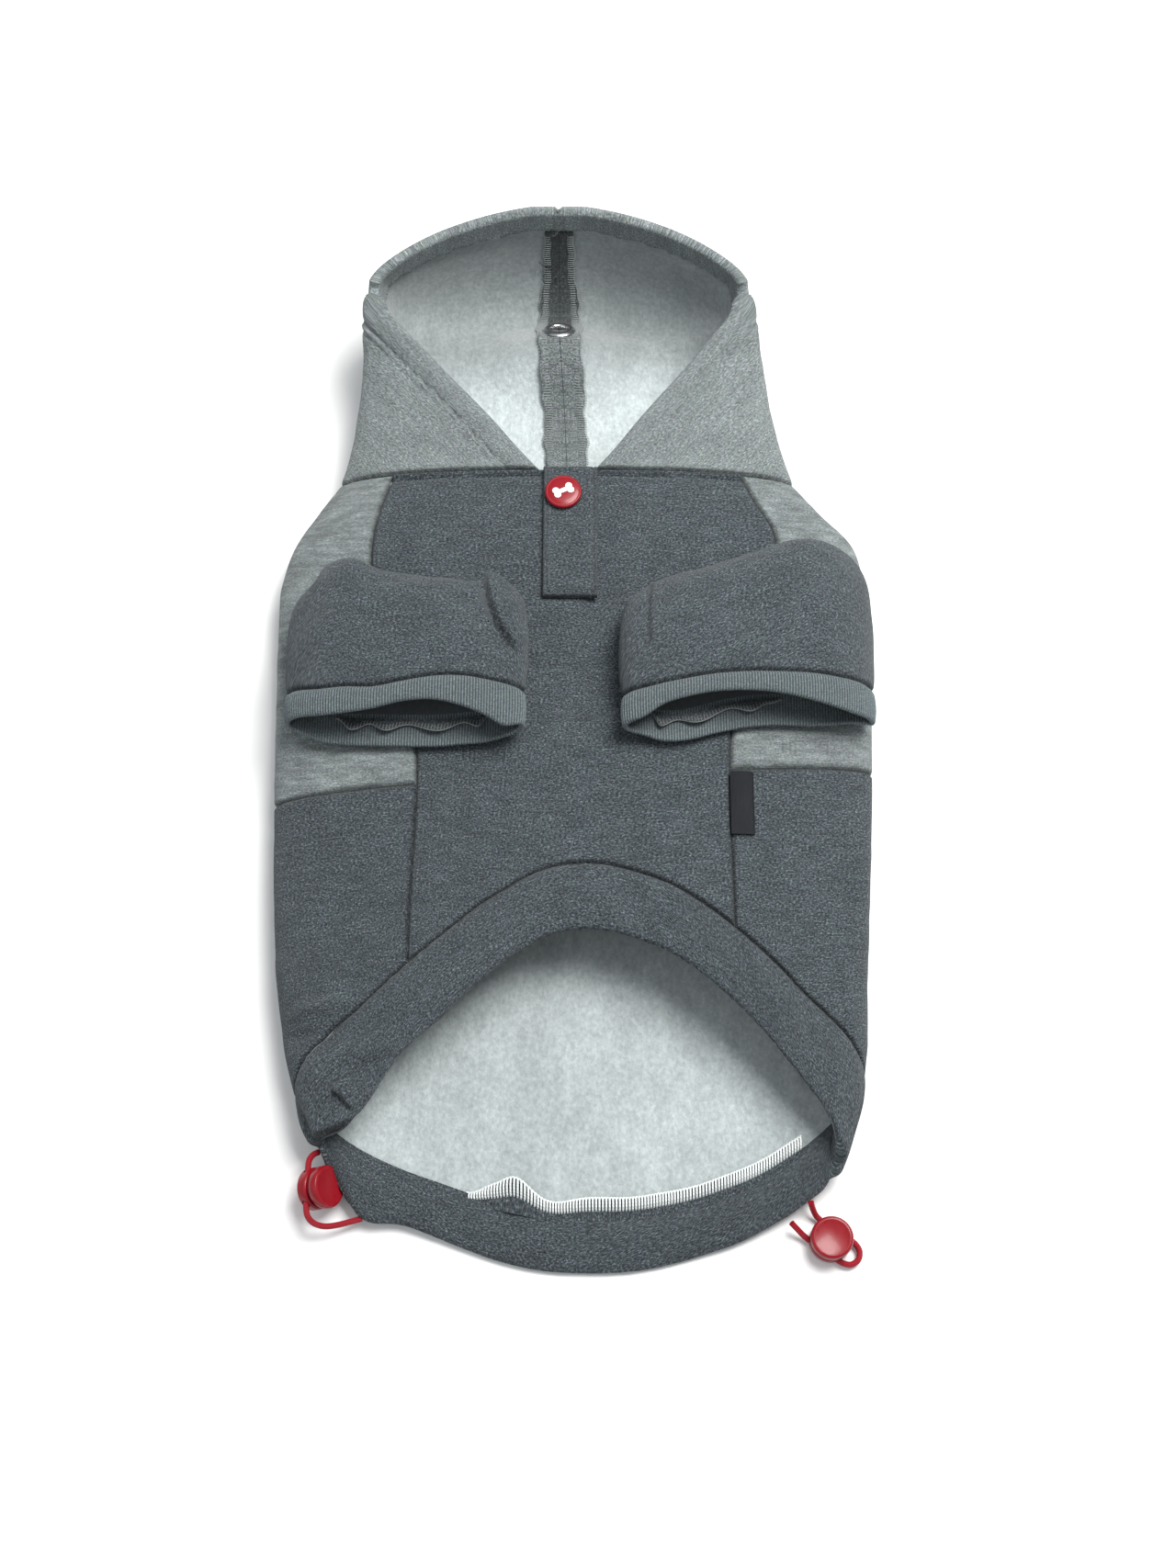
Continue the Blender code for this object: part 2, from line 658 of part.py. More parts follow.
def sleeve(side, root):
    """The sleeve from just inside the armhole, over the chest, to the cuff seam, and the armhole's cutter."""
    first = SLEEVE[0]
    tuck = loop_points(side, first, drop=SLEEVE_TUCK)
    loops = [tuck] + [loop_points(side, row) for row in SLEEVE]
    made = tube(f"sleeve_{side.name}", loops, [CLOTH] * len(loops), DARK_HEATHER, root)
    cut_loops = [loop_points(side, first, GAP, drop=3 * SLEEVE_TUCK), loop_points(side, first, GAP)]
    cut_loops += [loop_points(side, row, GAP) for row in SLEEVE[1:4]]
    count = len(cut_loops[0])
    points = [p for loop in cut_loops for p in loop]
    faces = [tuple(range(count - 1, -1, -1)), tuple(range(len(points) - count, len(points)))]
    for j in range(len(cut_loops) - 1):
        for k in range(count):
            n = (k + 1) % count
            faces.append((j * count + k, j * count + n, (j + 1) * count + n, (j + 1) * count + k))
    cutter = solid(f"armhole_cutter_{side.name}", points, faces, DARK_HEATHER, root)
    cutter.hide_render = True
    cutter.display_type = "WIRE"
    return made, cutter


def cuff(side, root):
    """The rib cuff, which carries on from the sleeve and flares a little at its mouth."""
    last = SLEEVE[-1]
    reach = CUFF_LENGTH / SLEEVE_REACH
    start = SEAM_GAP / SLEEVE_REACH
    rows = []
    for t in spread(CUFF_ROWS):
        on = start + (reach - start) * t
        swell = CUFF_SWELL * math.sin(math.pi * t)
        upper = last.upper + on * CUFF_DRAW
        rows.append(Loop(upper, last.rise + swell, last.lower + on, last.lay, last.width + swell))
    loops = [loop_points(side, row) for row in rows]
    return tube(f"cuff_{side.name}", loops, [CUFF_WALL] * len(loops), DARK_HEATHER, root)


def cut(obj, cutter, name):
    modifier = obj.modifiers.new(name, "BOOLEAN")
    modifier.operation = "DIFFERENCE"
    modifier.object = cutter
    modifier.solver = "EXACT"


def on_top(name, x_range, y_range, lift, thickness, grid, finish, root):
    """A flat strip that lies on the body's upper side, following it."""

    def place(u, v):
        x = x_range[0] + (x_range[1] - x_range[0]) * u
        y = y_range[0] + (y_range[1] - y_range[0]) * v
        return Vector((x, y, bridged_height(x, y)))

    outer, inner = [], []
    for u in spread(grid[0]):
        for v in spread(grid[1]):
            point = place(u, v)
            inner.append(point + Vector((0, 0, lift)))
            outer.append(point + Vector((0, 0, lift + thickness)))
    return solid(name, outer + inner, shell_faces(grid[0] + 1, grid[1] + 1, False), finish, root)


def lathe(name, profile, finish, root, sides=ROUND_SIDES, matrix=None):
    """A closed profile of radius and height turned about Z. A radius of 0 closes on the axis."""
    points, faces = [], []
    for k in range(sides):
        angle = 2 * math.pi * k / sides
        points += [Vector((r * math.cos(angle), r * math.sin(angle), z)) for r, z in profile]
    count = len(profile)
    closed = all(r > 0 for r, _ in profile)
    for k in range(sides):
        n = (k + 1) % sides
        for j in range(count if closed else count - 1):
            m = (j + 1) % count
            ring = (k * count + j, n * count + j, n * count + m, k * count + m)
            if profile[j][0] == 0:
                ring = (k * count + j, n * count + m, k * count + m)
            elif profile[m][0] == 0:
                ring = (k * count + j, n * count + j, k * count + m)
            faces.append(ring)
    if matrix is not None:
        points = [matrix @ p for p in points]
    return solid(name, points, faces, finish, root)


def placket(root):
    half = 0.5 * PLACKET_WIDTH
    across = (PLACKET_CENTRE - half, PLACKET_CENTRE + half)
    along = (-GAP, -PLACKET_LENGTH)
    return on_top("placket", across, along, 2 * GAP, PLACKET_THICKNESS, PLACKET_GRID, DARK_HEATHER, root)


def snap_cap(root):
    """The press stud's domed cap, seated over the highest point of the placket beneath it."""
    radius = 0.5 * SNAP_DIAMETER
    x, y = PLACKET_CENTRE + SNAP_SHIFT, -SNAP_FROM_NECK
    under = max(bridged_height(x + dx, y + dy) for dx in (-radius, 0, radius) for dy in (-radius, 0, radius))
    foot = under + 2 * GAP + PLACKET_THICKNESS + GAP
    profile = (
        (0.0, 0.0),
        (radius * 0.94, 0.0),
        (radius, SNAP_THICKNESS * 0.25),
        (radius, SNAP_THICKNESS * 0.50),
        (radius * 0.93, SNAP_THICKNESS * 0.80),
        (radius * 0.84, SNAP_THICKNESS * 0.86),
        (radius * 0.45, SNAP_THICKNESS * 0.97),
        (0.0, SNAP_THICKNESS),
    )
    cap = lathe("snap_cap", profile, RED_PLASTIC, root)
    cap.location = (x, y, foot)


def side_label(root):
    """The folded label that stands out of the right belly seam over the lower back's upper side."""
    top = yoke_edge(90) - LABEL_FROM_YOKE
    width, shift, _, _ = section(top - 0.5 * LABEL_LENGTH)
    seam = shift + width * read(BELLY_SEAM, "across", -top / BACK_LENGTH)
    across = (seam + 2 * GAP, seam + 2 * GAP + LABEL_WIDTH)
    along = (top, top - LABEL_LENGTH)
    on_top("side_label", across, along, SEAM_GAP, LABEL_THICKNESS, LABEL_GRID, BLACK_SATIN, root)


def eyelet_frame():
    """Matrix at the middle of the hood's wall where the eyelet sits, with Z pointing into the hood."""
    swing = 0.0
    while crown_point(180.0, swing).y < EYELET_FROM_NECK:
        swing += 0.25
    here = crown_point(180.0, swing)
    along = (crown_point(180.0, swing + 4) - crown_point(180.0, max(swing - 4, 0.0))).normalized()
    across = Vector((1.0, 0.0, 0.0))
    normal = across.cross(along).normalized()
    centre = here + normal * 0.5 * CLOTH
    turn = Matrix((across, normal.cross(across), normal)).transposed().to_4x4()
    return Matrix.Translation(centre) @ turn


def leash_eyelet(root, cloth):
    """The metal eyelet, which grips the cloth between its two flanges, and its seat in the cloth."""
    flange, barrel, bore = 0.5 * EYELET_DIAMETER, 0.5 * EYELET_BARREL, 0.5 * EYELET_BORE
    grip = 0.5 * EYELET_GRIP + GAP
    face = grip + EYELET_FLANGE
    profile = (
        (bore, face - 0.3 * EYELET_FLANGE),
        (bore, -face + 0.3 * EYELET_FLANGE),
        (barrel, -face),
        (flange - 0.4 * EYELET_FLANGE, -face),
        (flange, -grip),
        (barrel, -grip),
        (barrel, grip),
        (flange, grip),
        (flange - 0.4 * EYELET_FLANGE, face),
        (barrel, face),
    )
    frame = eyelet_frame()
    lathe("leash_eyelet", profile, STEEL, root, matrix=frame)
    reach = face + CLOTH
    seat = (
        (0.0, -reach),
        (flange + GAP, -reach),
        (flange + GAP, -0.5 * EYELET_GRIP),
        (barrel + GAP, -0.5 * EYELET_GRIP),
        (barrel + GAP, 0.5 * EYELET_GRIP),
        (flange + GAP, 0.5 * EYELET_GRIP),
        (flange + GAP, reach),
        (0.0, reach),
    )
    cutter = lathe("eyelet_cutter", seat, STEEL, root, matrix=frame)
    cutter.hide_render = True
    cutter.display_type = "WIRE"
    for piece in cloth:
        cut(piece, cutter, "eyelet seat")


def lock_matrix(lock):
    """The lock's place: its foot, its channels along its own X, and its button's axis along its own Z."""
    lean = Vector((math.cos(math.radians(lock.lean)), math.sin(math.radians(lock.lean)), 0.0))
    tilt = Matrix.Rotation(math.radians(lock.tilt), 4, Vector((0, 0, 1)).cross(lean))
    heading = Matrix.Rotation(math.radians(lock.heading), 4, "Z")
    return Matrix.Translation((lock.x, lock.y, lock.z)) @ tilt @ heading


def cord_lock(lock, root):
    """A round spring lock: a base with two cord channels and a hollow neck, under a skirted button."""
    base, neck = 0.5 * LOCK_DIAMETER, 0.5 * LOCK_NECK_DIAMETER
    stem = 0.5 * LOCK_STEM_DIAMETER
    skirt_foot = LOCK_BASE_HEIGHT + LOCK_TRAVEL + LOCK_CLEARANCE
    neck_top = skirt_foot + LOCK_OVERLAP
    cap_foot = neck_top + LOCK_TRAVEL + LOCK_CLEARANCE
    floor = LOCK_CHANNEL_HEIGHT - 0.5 * CORD_DIAMETER
    well = stem + LOCK_CLEARANCE
    place = lock_matrix(lock)
    body_profile = (
        (0.0, 0.0),
        (base - 0.0006, 0.0),
        (base, 0.0006),
        (base, LOCK_BASE_HEIGHT - 0.0005),
        (base - 0.0005, LOCK_BASE_HEIGHT),
        (neck, LOCK_BASE_HEIGHT),
        (neck, neck_top - 0.0003),
        (neck - 0.0003, neck_top),
        (well, neck_top),
        (well, 0.5 * floor),
        (0.0, 0.5 * floor),
    )
    body = lathe(f"lock_body_{lock.name}", body_profile, RED_PLASTIC, root)
    body.matrix_local = place
    bore = 0.5 * CORD_DIAMETER + LOCK_CLEARANCE
    for sign in (-1, 1):
        bpy.ops.mesh.primitive_cylinder_add(vertices=12, radius=bore, depth=2 * LOCK_DIAMETER)
        channel = bpy.context.active_object
        channel.name = f"channel_cutter_{lock.name}_{'a' if sign < 0 else 'b'}"
        channel.parent = root
        middle = Vector((0.0, sign * LOCK_CHANNEL_OFFSET, LOCK_CHANNEL_HEIGHT))
        channel.matrix_local = place @ Matrix.Translation(middle) @ Matrix.Rotation(math.pi / 2, 4, "Y")
        channel.hide_render = True
        channel.display_type = "WIRE"
        cut(body, channel, "cord channel")
    inside = neck + LOCK_CLEARANCE
    top = cap_foot + LOCK_CAP_THICKNESS
    button_profile = (
        (0.0, LOCK_TRAVEL + 0.5 * floor + LOCK_CLEARANCE),
        (stem, LOCK_TRAVEL + 0.5 * floor + LOCK_CLEARANCE),
        (stem, cap_foot),
        (inside, cap_foot),
        (inside, skirt_foot),
        (base, skirt_foot),
        (base + 0.0003, top - 0.0009),
        (base - 0.0006, top),
        (0.0, top),
    )
    button = lathe(f"lock_button_{lock.name}", button_profile, RED_PLASTIC, root)
    button.matrix_local = place


def smooth_curve(knots, per_span=12):
    """Close points along a smooth curve that passes through all the knots."""
    points = []
    for k in range(len(knots) - 1):
        here, there = knots[k], knots[k + 1]
        bend_in = 0.5 * (there - knots[max(k - 1, 0)])
        bend_out = 0.5 * (knots[min(k + 2, len(knots) - 1)] - here)
        for t in spread(per_span)[:-1]:
            start = here * (1 + 2 * t) * (1 - t) ** 2 + bend_in * t * (1 - t) ** 2
            points.append(start + there * t * t * (3 - 2 * t) - bend_out * t * t * (1 - t))
    return points + [knots[-1]]


def drawcord(name, route, root):
    """The drawcord's free loop: a tube on a smooth curve through the route's points, read at even steps."""
    fine = np.array(smooth_curve([Vector(p) for p in route]))
    steps = np.linalg.norm(np.diff(fine, axis=0), axis=1)
    run = np.concatenate(([0.0], np.cumsum(steps)))
    places = np.linspace(0.0, run[-1], round(run[-1] / CORD_STEP) + 1)
    points = np.stack([np.interp(places, run, fine[:, axis]) for axis in range(3)], axis=1)
    curve = bpy.data.curves.new(name, "CURVE")
    curve.dimensions = "3D"
    spline = curve.splines.new("POLY")
    spline.points.add(len(points) - 1)
    for point, place in zip(spline.points, points):
        point.co = (*place, 1.0)
    curve.bevel_depth = 0.5 * CORD_DIAMETER
    curve.bevel_resolution = 2
    curve.use_fill_caps = True
    return link(name, curve, RED_CORD, root)


def clear_scene():
    for obj in list(bpy.data.objects):
        bpy.data.objects.remove(obj, do_unlink=True)


def centre(root):
    """Moves the hoodie so that the bounding box of all but its cords and locks stands centred on the origin."""
    bpy.context.view_layer.update()
    shown = [obj for obj in root.children_recursive if obj.type == "MESH" and not obj.hide_render]
    solids = [obj for obj in shown if not obj.name.startswith("lock_")]
    corners = np.array([obj.matrix_world @ v.co for obj in solids for v in obj.data.vertices])
    low, high = corners.min(axis=0), corners.max(axis=0)
    root.location = (-0.5 * (low[0] + high[0]), -0.5 * (low[1] + high[1]), -low[2])


def build():
    clear_scene()
    root = bpy.data.objects.new("hoodie", None)
    bpy.context.scene.collection.objects.link(root)

    def belly_side(y):
        return -seam_turn(y), seam_turn(y)

    def back_side(y):
        return seam_turn(y), 360 - seam_turn(y)

    def neck(_):
        return 0.0

    def whole(_):
        return -180.0, 180.0

    across, around = spread(BELLY_GRID[0]), clustered(BACK_GRID[0])
    belly = panel("belly_panel", (belly_side, neck, hem_seam), across, BELLY_GRID[1], DARK_HEATHER, root)
    yoke = panel("yoke", (back_side, neck, yoke_edge), around, YOKE_ROWS, LIGHT_HEATHER, root)
    panel("lower_back", (back_side, yoke_edge, hem_seam), around, BACK_GRID[1], DARK_HEATHER, root)
    turns = [settle(belly_side, neck, hem_seam, u, 1.0)[0] for u in across]
    turns += [settle(back_side, yoke_edge, hem_seam, u, 1.0)[0] for u in around[1:-1]]
    panel(
        "hem_band",
        (whole, hem_seam, hem_edge),
        sorted(((turn + 180) % 360) / 360 for turn in turns),
        BAND_ROWS,
        DARK_HEATHER,
        root,
        wall=band_wall,
        puff=band_puff,
        ring=True,
        seam=HEM_GAP,
    )
    hood = [hood_half("hood_left", -1, root), hood_half("hood_right", 1, root)]
    leash_eyelet(root, hood)
    for side in SIDES:
        _, cutter = sleeve(side, root)
        cuff(side, root)
        cut(belly, cutter, f"armhole {side.name}")
        cut(yoke, cutter, f"armhole {side.name}")
    placket(root)
    snap_cap(root)
    side_label(root)
    for lock in LOCKS:
        cord_lock(lock, root)
        drawcord(f"drawcord_{lock.name}", CORD_ROUTES[lock.name], root)
    centre(root)


build()
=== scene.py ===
"""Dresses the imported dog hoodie: cloth, ribs, seams, stitches, cords, locks and a plain studio stage.

The body's surface, the hood's and the sleeves' repeat the named sizes of the part's own source, at a
finer grain.
While pieces are shaped, y is measured from the neck seam, as in that source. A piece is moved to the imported
frame when its mesh is made. Lengths are in metres, and +Z is up.
"""

import math
from collections import namedtuple

import bmesh
import bpy
import numpy as np
from mathutils import Matrix, Vector


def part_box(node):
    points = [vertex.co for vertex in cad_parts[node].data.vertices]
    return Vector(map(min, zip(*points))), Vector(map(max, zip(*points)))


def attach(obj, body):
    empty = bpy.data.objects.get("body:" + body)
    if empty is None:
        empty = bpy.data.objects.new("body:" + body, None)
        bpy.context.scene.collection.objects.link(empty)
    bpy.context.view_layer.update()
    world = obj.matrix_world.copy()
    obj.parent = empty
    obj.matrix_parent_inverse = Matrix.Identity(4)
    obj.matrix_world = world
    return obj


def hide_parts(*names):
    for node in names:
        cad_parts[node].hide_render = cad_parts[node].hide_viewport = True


bl_info = {
    "name": "Dog hoodie",
    "version": (1, 0, 0),
    "blender": (4, 5, 0),
    "location": "3D View > Sidebar > Hoodie",
    "description": "Dresses the packed dog hoodie with cloth, stitches, cords and a stage",
    "category": "Add Mesh",
}

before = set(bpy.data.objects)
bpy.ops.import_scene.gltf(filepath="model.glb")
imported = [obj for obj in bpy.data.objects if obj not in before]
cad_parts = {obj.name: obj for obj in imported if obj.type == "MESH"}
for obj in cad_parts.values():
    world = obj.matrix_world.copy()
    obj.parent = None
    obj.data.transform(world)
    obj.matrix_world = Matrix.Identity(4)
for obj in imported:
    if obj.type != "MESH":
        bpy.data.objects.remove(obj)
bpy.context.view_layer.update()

# Main sizes of the garment as it lies, as in the part's source
BACK_LENGTH = 0.353
CHEST_HALF_WIDTH = 0.133
NECK_HALF_WIDTH = 0.1048
BODY_HEIGHT = 0.038
HOOD_LENGTH = 0.082
TEMPLE_HALF_WIDTH = 0.0865
TEMPLE_HEIGHT = 0.054
RIM_HEIGHT = 0.058
CROWN_DEPTH = 0.044
CROWN_RISE = 0.004
RIDGE_HEIGHT = 0.019
RIDGE_FROM_NECK = 0.076
RIDGE_HALF_WIDTH = 0.045
YOKE_LENGTH = 0.151
YOKE_SKEW = 0.0075
HEM_BAND_WIDTH = 0.027
ARMHOLE_FROM_NECK = 0.052
SLEEVE_REACH = 0.066
SLEEVE_HEIGHT = 0.025
SLEEVE_TUCK = 0.0040
SLEEVE_SQUARENESS = 0.85
CUFF_LENGTH = 0.0145
CUFF_DRAW = 0.85
PLACKET_CENTRE = -0.0017
PLACKET_WIDTH = 0.0245
PLACKET_LENGTH = 0.067
PLACKET_THICKNESS = 0.0028
SNAP_DIAMETER = 0.0165
SNAP_SHIFT = -0.0031
SNAP_THICKNESS = 0.0026
LABEL_WIDTH = 0.0098
LABEL_LENGTH = 0.0285
EYELET_FROM_NECK = 0.0842
CORD_DIAMETER = 0.0025
LOCK_DIAMETER = 0.0172
GAP = 0.0003
TOP_POWER = 2.4
FLOOR_POWER = 2.6
ARCH_POWER = 1.6
FLOOR_SINK = 1.03
CROWN_FULLNESS = 0.75


def table(columns, *rows):
    """A tuple of rows whose numbers are also read by their columns' names."""
    row = namedtuple("Row", columns)
    return tuple(row(*values) for values in rows)


BODY = table(
    "along width shift side top",
    (0.00, 0.00, -0.025, 0.45, 0.95),
    (0.04, 0.36, -0.018, 0.44, 0.97),
    (0.09, 0.81, 0.000, 0.43, 0.99),
    (0.15, 0.98, -0.003, 0.42, 1.00),
    (0.20, 1.00, 0.000, 0.42, 1.00),
    (0.41, 0.92, 0.000, 0.42, 1.00),
    (0.65, 0.72, -0.003, 0.43, 1.00),
    (0.76, 0.56, 0.010, 0.44, 1.00),
    (0.815, 0.40, 0.018, 0.45, 1.00),
    (0.86, 0.16, 0.022, 0.45, 0.98),
    (0.92, 0.00, 0.020, 0.42, 0.96),
    (0.96, -0.12, 0.020, 0.36, 0.94),
    (1.01, -0.28, 0.020, 0.30, 0.92),
)
HOOD = table(
    "along width shift side top rim",
    (0.00, 0.00, -0.025, 0.00, 0.00, 0.12),
    (0.10, 0.13, -0.026, 0.03, 0.09, 0.20),
    (0.32, 0.38, -0.030, 0.14, 0.32, 0.37),
    (0.62, 0.61, -0.038, 0.38, 0.62, 0.63),
    (0.80, 0.74, -0.046, 0.64, 0.86, 0.79),
    (0.95, 0.92, -0.054, 0.93, 0.98, 0.92),
    (1.00, 1.00, -0.056, 1.00, 1.00, 1.00),
)
HEM = table(
    "turn edge band",
    (-210, 0.980, 0.90),
    (-180, 1.007, 0.90),
    (-150, 0.966, 0.86),
    (-130, 0.929, 0.74),
    (-110, 0.890, 0.62),
    (-90, 0.868, 0.66),
    (-70, 0.862, 1.12),
    (-55, 0.850, 1.36),
    (-43, 0.820, 1.34),
    (-33, 0.772, 1.20),
    (-22, 0.727, 1.22),
    (-12, 0.675, 1.17),
    (0, 0.624, 1.07),
    (12, 0.642, 1.08),
    (22, 0.679, 1.14),
    (35, 0.740, 1.24),
    (50, 0.806, 1.34),
    (70, 0.856, 1.34),
    (90, 0.888, 1.22),
    (110, 0.914, 1.02),
    (130, 0.947, 0.94),
    (150, 0.980, 0.90),
    (180, 1.007, 0.90),
    (210, 0.966, 0.90),
)
BELLY_SEAM = table(
    "along across",
    (0.00, 0.757),
    (0.08, 0.715),
    (0.15, 0.680),
    (0.28, 0.575),
    (0.39, 0.517),
    (0.65, 0.545),
    (0.85, 0.560),
)
SLEEVE = table(
    "at upper rise lower lay width",
    (0, 0.05, 0.00, 0.70, 0.00, 0.88),
    (1, -0.01, 0.16, 0.72, 0.04, 0.90),
    (2, -0.03, 0.42, 0.745, 0.08, 0.94),
    (3, 0.03, 0.70, 0.77, 0.09, 0.97),
    (4, 0.17, 0.90, 0.82, 0.09, 0.99),
    (5, 0.38, 1.00, 0.88, 0.09, 1.00),
    (6, 0.60, 1.03, 0.95, 0.09, 1.00),
    (7, 0.82, 1.01, 1.01, 0.10, 0.99),
    (8, 1.00, 0.97, 1.06, 0.11, 0.97),
)
# How far the sleeve's edges lie below the loops above, from its left end to its right one, as shares of
# its reach:
# the fold on top, the cuff's seam, the mouth's upper edge and its lower one
HANG = "across fold seam mouth under"
HANGS = {
    "left": table(
        HANG,
        (-1.00, -0.02, -0.07, -0.06, -0.08),
        (-0.85, -0.04, -0.04, -0.04, -0.05),
        (-0.70, -0.08, -0.02, -0.02, 0.00),
        (-0.50, -0.05, -0.01, -0.01, 0.02),
        (-0.25, 0.09, 0.01, -0.02, 0.03),
        (0.00, 0.15, -0.02, -0.06, 0.04),
        (0.25, 0.18, -0.05, -0.07, 0.05),
        (0.50, 0.18, -0.06, -0.03, 0.05),
        (0.70, 0.13, -0.05, 0.03, 0.05),
        (0.85, 0.14, -0.04, 0.10, 0.02),
        (1.00, 0.15, -0.03, 0.06, -0.01),
    ),
    "right": table(
        HANG,
        (-1.00, -0.05, 0.01, 0.05, 0.01),
        (-0.85, 0.00, 0.00, 0.02, 0.02),
        (-0.70, 0.03, -0.02, -0.06, 0.05),
        (-0.50, 0.05, -0.04, -0.10, 0.02),
        (-0.25, 0.04, -0.07, -0.13, -0.05),
        (0.00, 0.00, -0.09, -0.14, -0.10),
        (0.25, -0.06, -0.10, -0.13, -0.12),
        (0.50, -0.13, -0.11, -0.10, -0.12),
        (0.70, -0.15, -0.11, -0.07, -0.14),
        (0.85, -0.16, -0.11, -0.05, -0.16),
        (1.00, -0.18, -0.11, -0.06, -0.15),
    ),
}

# Lines where cloth folds over itself, as shares of the chest's half width and of the back's length: the
# cloth on
# the left of a line, walking along it, lies higher by the step
OVERLAP = "step width points"
OVERLAPS = {
    "left": table(
        OVERLAP,
        (
            0.0046,
            0.0011,
            (
                (-0.283, -0.150),
                (-0.284, -0.190),
                (-0.268, -0.225),
                (-0.242, -0.254),
                (-0.206, -0.276),
                (-0.176, -0.292),
            ),
        ),
        (-0.0016, 0.0016, ((-0.860, -0.205), (-0.835, -0.160), (-0.775, -0.118), (-0.700, -0.108))),
    ),
    "right": table(OVERLAP, (0.0010, 0.0020, ((0.262, -0.180), (0.248, -0.230), (0.250, -0.290)))),
}
BAND_OVERLAPS = table(
    OVERLAP,
    (0.0042, 0.0014, ((-0.800, -0.862), (-0.750, -0.857), (-0.700, -0.852), (-0.640, -0.843))),
    (0.0030, 0.0013, ((-0.735, -0.812), (-0.700, -0.822), (-0.660, -0.838))),
    (0.0024, 0.0011, ((-0.640, -0.785), (-0.612, -0.776), (-0.580, -0.770), (-0.555, -0.765))),
    (0.0034, 0.0013, ((0.725, -0.815), (0.745, -0.851), (0.760, -0.885), (0.775, -0.915))),
)
SIDES = table(
    "name sign centre half_width skew",
    ("left", -1, 0.545, 0.380, -0.04),
    ("right", 1, 0.570, 0.404, 0.13),
)
FOLD = "x y heading reach breadth height"
FOLDS = table(
    FOLD,
    (0.09, -0.20, 85, 0.28, 0.06, -0.020),
    (0.00, -0.30, 0, 0.20, 0.14, -0.022),
    (-0.70, -0.745, 8, 0.28, 0.07, -0.014),
    (0.80, -0.640, 70, 0.30, 0.09, -0.014),
    (-0.30, -0.47, 60, 0.30, 0.10, 0.012),
    (0.28, -0.50, 110, 0.30, 0.10, 0.010),
)

# Smaller creases that only the dressed cloth shows, in the same columns
CREASES = table(
    FOLD,
    (0.30, -0.19, 96, 0.16, 0.030, 0.010),
    (0.37, -0.12, 80, 0.12, 0.030, -0.008),
    (-0.22, -0.24, 150, 0.14, 0.035, 0.008),
    (-0.30, -0.13, 20, 0.20, 0.040, -0.006),
    (-0.83, -0.715, 10, 0.14, 0.022, 0.012),
    (-0.85, -0.745, 6, 0.12, 0.020, -0.012),
    (0.86, -0.690, 100, 0.16, 0.025, 0.008),
    (-0.45, -0.62, 84, 0.30, 0.050, 0.006),
    (0.10, -0.40, 10, 0.30, 0.060, 0.008),
)

# The drawcord's loop at each corner, as chosen in the part's source
CORD_ROUTES = {
    "right": (
        (0.0973, -0.3279, 0.0084), (0.0982, -0.3300, 0.0060), (0.0994, -0.3320, 0.0037),
        (0.1011, -0.3337, 0.0026), (0.1034, -0.3353, 0.0026), (0.1066, -0.3375, 0.0026),
        (0.1095, -0.3395, 0.0026), (0.1124, -0.3416, 0.0026), (0.1150, -0.3434, 0.0025),
        (0.1169, -0.3464, 0.0023), (0.1163, -0.3500, 0.0022), (0.1132, -0.3520, 0.0023),
        (0.1096, -0.3513, 0.0025), (0.1068, -0.3494, 0.0026), (0.1039, -0.3473, 0.0026),
        (0.1010, -0.3453, 0.0026), (0.0982, -0.3433, 0.0026), (0.0955, -0.3414, 0.0027),
        (0.0934, -0.3397, 0.0038), (0.0913, -0.3379, 0.0055), (0.0892, -0.3361, 0.0072),
    ),
    "left": (
        (-0.1043, -0.3077, 0.0106), (-0.1064, -0.3092, 0.0120), (-0.1077, -0.3115, 0.0129),
        (-0.1080, -0.3144, 0.0130), (-0.1080, -0.3186, 0.0130), (-0.1080, -0.3228, 0.0130),
        (-0.1080, -0.3270, 0.0130), (-0.1080, -0.3308, 0.0129), (-0.1073, -0.3342, 0.0120),
        (-0.1050, -0.3366, 0.0098), (-0.1008, -0.3375, 0.0076), (-0.0958, -0.3367, 0.0062),
        (-0.0908, -0.3353, 0.0054), (-0.0860, -0.3340, 0.0056),
    ),
}
LOCKS = table(
    "name x y z heading tilt",
    ("right", 0.1052, -0.3424, 0.0000, -35.0, 0.0),
    ("left", -0.1073, -0.3225, 0.0075, -90.0, 53.0),
)

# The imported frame's place of the point where the neck seam meets the body's middle
SNAP_BOX, PLACKET_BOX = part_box("snap_cap"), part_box("placket")
NECK = np.array(
    (
        0.5 * (SNAP_BOX[0].x + SNAP_BOX[1].x) - PLACKET_CENTRE - SNAP_SHIFT,
        PLACKET_BOX[1].y + GAP,
        0.0,
    )
)
TARGET = Vector((0.0064, -0.034, 0.020))
VIEW_ELEVATION = 68.0
VIEW_DISTANCE = 0.900
VIEW_LENS = 47.45


def length_prop(name, description, default):
    return bpy.props.FloatProperty(
        name=name, description=description, default=default, min=0.0, precision=5, unit="LENGTH"
    )


def colour_prop(name, description, default):
    return bpy.props.FloatVectorProperty(
        name=name, description=description, default=default, size=3, min=0.0, max=1.0, subtype="COLOR"
    )


